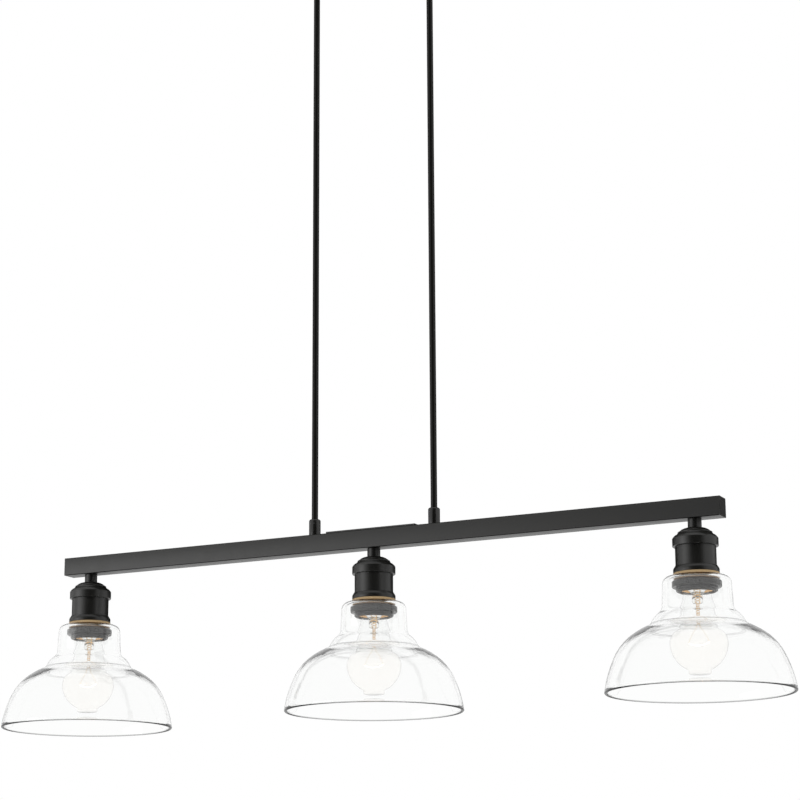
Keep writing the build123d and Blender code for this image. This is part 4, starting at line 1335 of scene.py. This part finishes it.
class PENDANT_OT_studio(bpy.types.Operator):
    """Set up the floor, the light and the camera"""

    bl_idname = "pendant.studio"
    bl_label = "Studio"

    def execute(self, context):
        settings = context.scene.studio_settings
        scene = context.scene
        scene.view_settings.view_transform = "Standard"
        self.add_floor(settings)
        self.light_world(settings)
        self.add_lamps()
        self.add_cards(settings)
        self.add_camera(scene, settings)
        return {"FINISHED"}

    def add_floor(self, settings):
        """A plain floor far below, which looks white and still shows a little shadow."""
        select_none()
        bpy.ops.mesh.primitive_plane_add(size=settings.floor_size,
                                         location=(0, 0, Z_RIM - settings.floor_drop))
        floor = bpy.context.object
        floor.name = "studio_floor"
        paint = Paint("pale_floor")
        matt = paint.principled(Base_Color=grey(0.8), Roughness=0.9)
        seen = paint.rays(*SEEN) * settings.floor_white
        floor.data.materials.append(paint.finished(
            paint.blend(seen, matt, paint.emission(grey(1.0)))))

    def light_world(self, settings):
        """A surround that lights the pendant and looks white."""
        paint = Paint("studio", "worlds", "ShaderNodeOutputWorld")
        lit = paint.node("ShaderNodeBackground", None,
                         {"Color": grey(0.8), "Strength": settings.light})
        white = paint.node("ShaderNodeBackground", None, {"Color": grey(1.0)})
        bpy.context.scene.world = paint.finished(paint.blend(paint.rays(*SEEN), lit, white))

    def add_lamps(self):
        """Soft lamps at the left and the right."""
        for name, place, size, power, in_gloss in (
                ("lamp_left", (-2.2, -2.4, -0.9), 1.8, 20, True),
                ("lamp_right", (2.6, -0.6, 0.2), 1.4, 14, False)):
            select_none()
            bpy.ops.object.light_add(type="AREA", location=place)
            lamp = bpy.context.object
            lamp.name = name
            lamp.data.size = size
            lamp.data.energy = power
            way = Vector((0, 0, Z_BAR_BASE)) - Vector(place)
            lamp.rotation_euler = way.to_track_quat("-Z", "Y").to_euler()
            lamp.visible_camera = False
            lamp.visible_glossy = in_gloss
            lamp.visible_transmission = False

    def add_cards(self, settings):
        """Dark cards before and behind, which only gloss shows, to give the metal its depth."""
        paint = Paint("dark_card")
        dark = paint.principled(Base_Color=grey(0.004), Roughness=1.0, Specular_IOR_Level=0.0)
        card_paint = paint.finished(
            paint.blend(paint.rays("Singular"), dark, paint.see_through(grey(1.0))))
        for name, first, last, lift in (("front", -98, -28, 0.0), ("back", 55, 165, 2.9)):
            select_none()
            bpy.ops.mesh.primitive_cylinder_add(
                vertices=120, radius=settings.card_radius, depth=settings.card_height,
                end_fill_type="NOTHING", location=(0, 0, Z_BAR_BASE + lift))
            card = bpy.context.object
            card.name = f"studio_card_{name}"
            select_parts("FACE", card.data.polygons, lambda face: not (
                first < atan2(face.center.y, face.center.x) / radians(1) < last))
            bpy.ops.mesh.delete(type="FACE")
            bpy.ops.object.mode_set(mode="OBJECT")
            for kind in ("camera", "diffuse", "transmission", "volume_scatter", "shadow"):
                setattr(card, f"visible_{kind}", False)
            card.data.materials.append(card_paint)

    def add_camera(self, scene, settings):
        """The camera at the photograph's viewing angle."""
        select_none()
        place = (settings.right, -settings.front, Z_RIM - settings.below)
        bpy.ops.object.camera_add(location=place)
        camera = bpy.context.object
        camera.name = "studio_camera"
        turn = Matrix.Rotation(settings.yaw, 3, "Z")
        turn = turn @ Matrix.Rotation(pi / 2 + settings.pitch, 3, "X")
        turn = turn @ Matrix.Rotation(settings.roll, 3, "Z")
        camera.rotation_euler = turn.to_euler()
        camera.data.lens = settings.lens
        camera.data.sensor_width = 36
        camera.data.clip_end = 100
        scene.camera = camera


# --- Add-on ------------------------------------------------------------------------------------
GROUPS = {
    "shade_sizes": ShadeSizes, "cup_sizes": CupSizes, "holder_sizes": HolderSizes,
    "bulb_sizes": BulbSizes, "frame_sizes": FrameSizes, "pendant_colours": PendantColours,
    "studio_settings": StudioSettings,
}
PIECE_OPERATORS = (
    PENDANT_OT_shades, PENDANT_OT_cups, PENDANT_OT_posts, PENDANT_OT_gaskets,
    PENDANT_OT_lampholders, PENDANT_OT_shells, PENDANT_OT_rings, PENDANT_OT_bulbs,
    PENDANT_OT_caps, PENDANT_OT_stems, PENDANT_OT_filaments, PENDANT_OT_bar, PENDANT_OT_rods,
    PENDANT_OT_couplings, PENDANT_OT_kept, PENDANT_OT_studio,
)


class PENDANT_PT_panel(bpy.types.Panel):
    """The pendant's pieces and sizes"""

    bl_label = "Pendant"
    bl_idname = "PENDANT_PT_panel"
    bl_space_type = "VIEW_3D"
    bl_region_type = "UI"
    bl_category = "Pendant"

    def draw(self, context):
        for operator in PIECE_OPERATORS:
            self.layout.operator(operator.bl_idname)
        for name, group in GROUPS.items():
            box = self.layout.box()
            box.label(text=name.replace("_", " ").capitalize())
            for prop in group.__annotations__:
                box.prop(getattr(context.scene, name), prop)


def register():
    """Adds the classes and their settings."""
    for name, group in GROUPS.items():
        bpy.utils.register_class(group)
        setattr(bpy.types.Scene, name, bpy.props.PointerProperty(type=group))
    for cls in (*PIECE_OPERATORS, PENDANT_PT_panel):
        bpy.utils.register_class(cls)


def unregister():
    """Takes the classes and their settings away again."""
    for cls in (*PIECE_OPERATORS, PENDANT_PT_panel):
        bpy.utils.unregister_class(cls)
    for name, group in GROUPS.items():
        delattr(bpy.types.Scene, name)
        bpy.utils.unregister_class(group)


def main():
    """Builds everything."""
    register()
    for operator in PIECE_OPERATORS:
        group, name = operator.bl_idname.split(".")
        getattr(getattr(bpy.ops, group), name)()


if __name__ == "__main__":
    main()
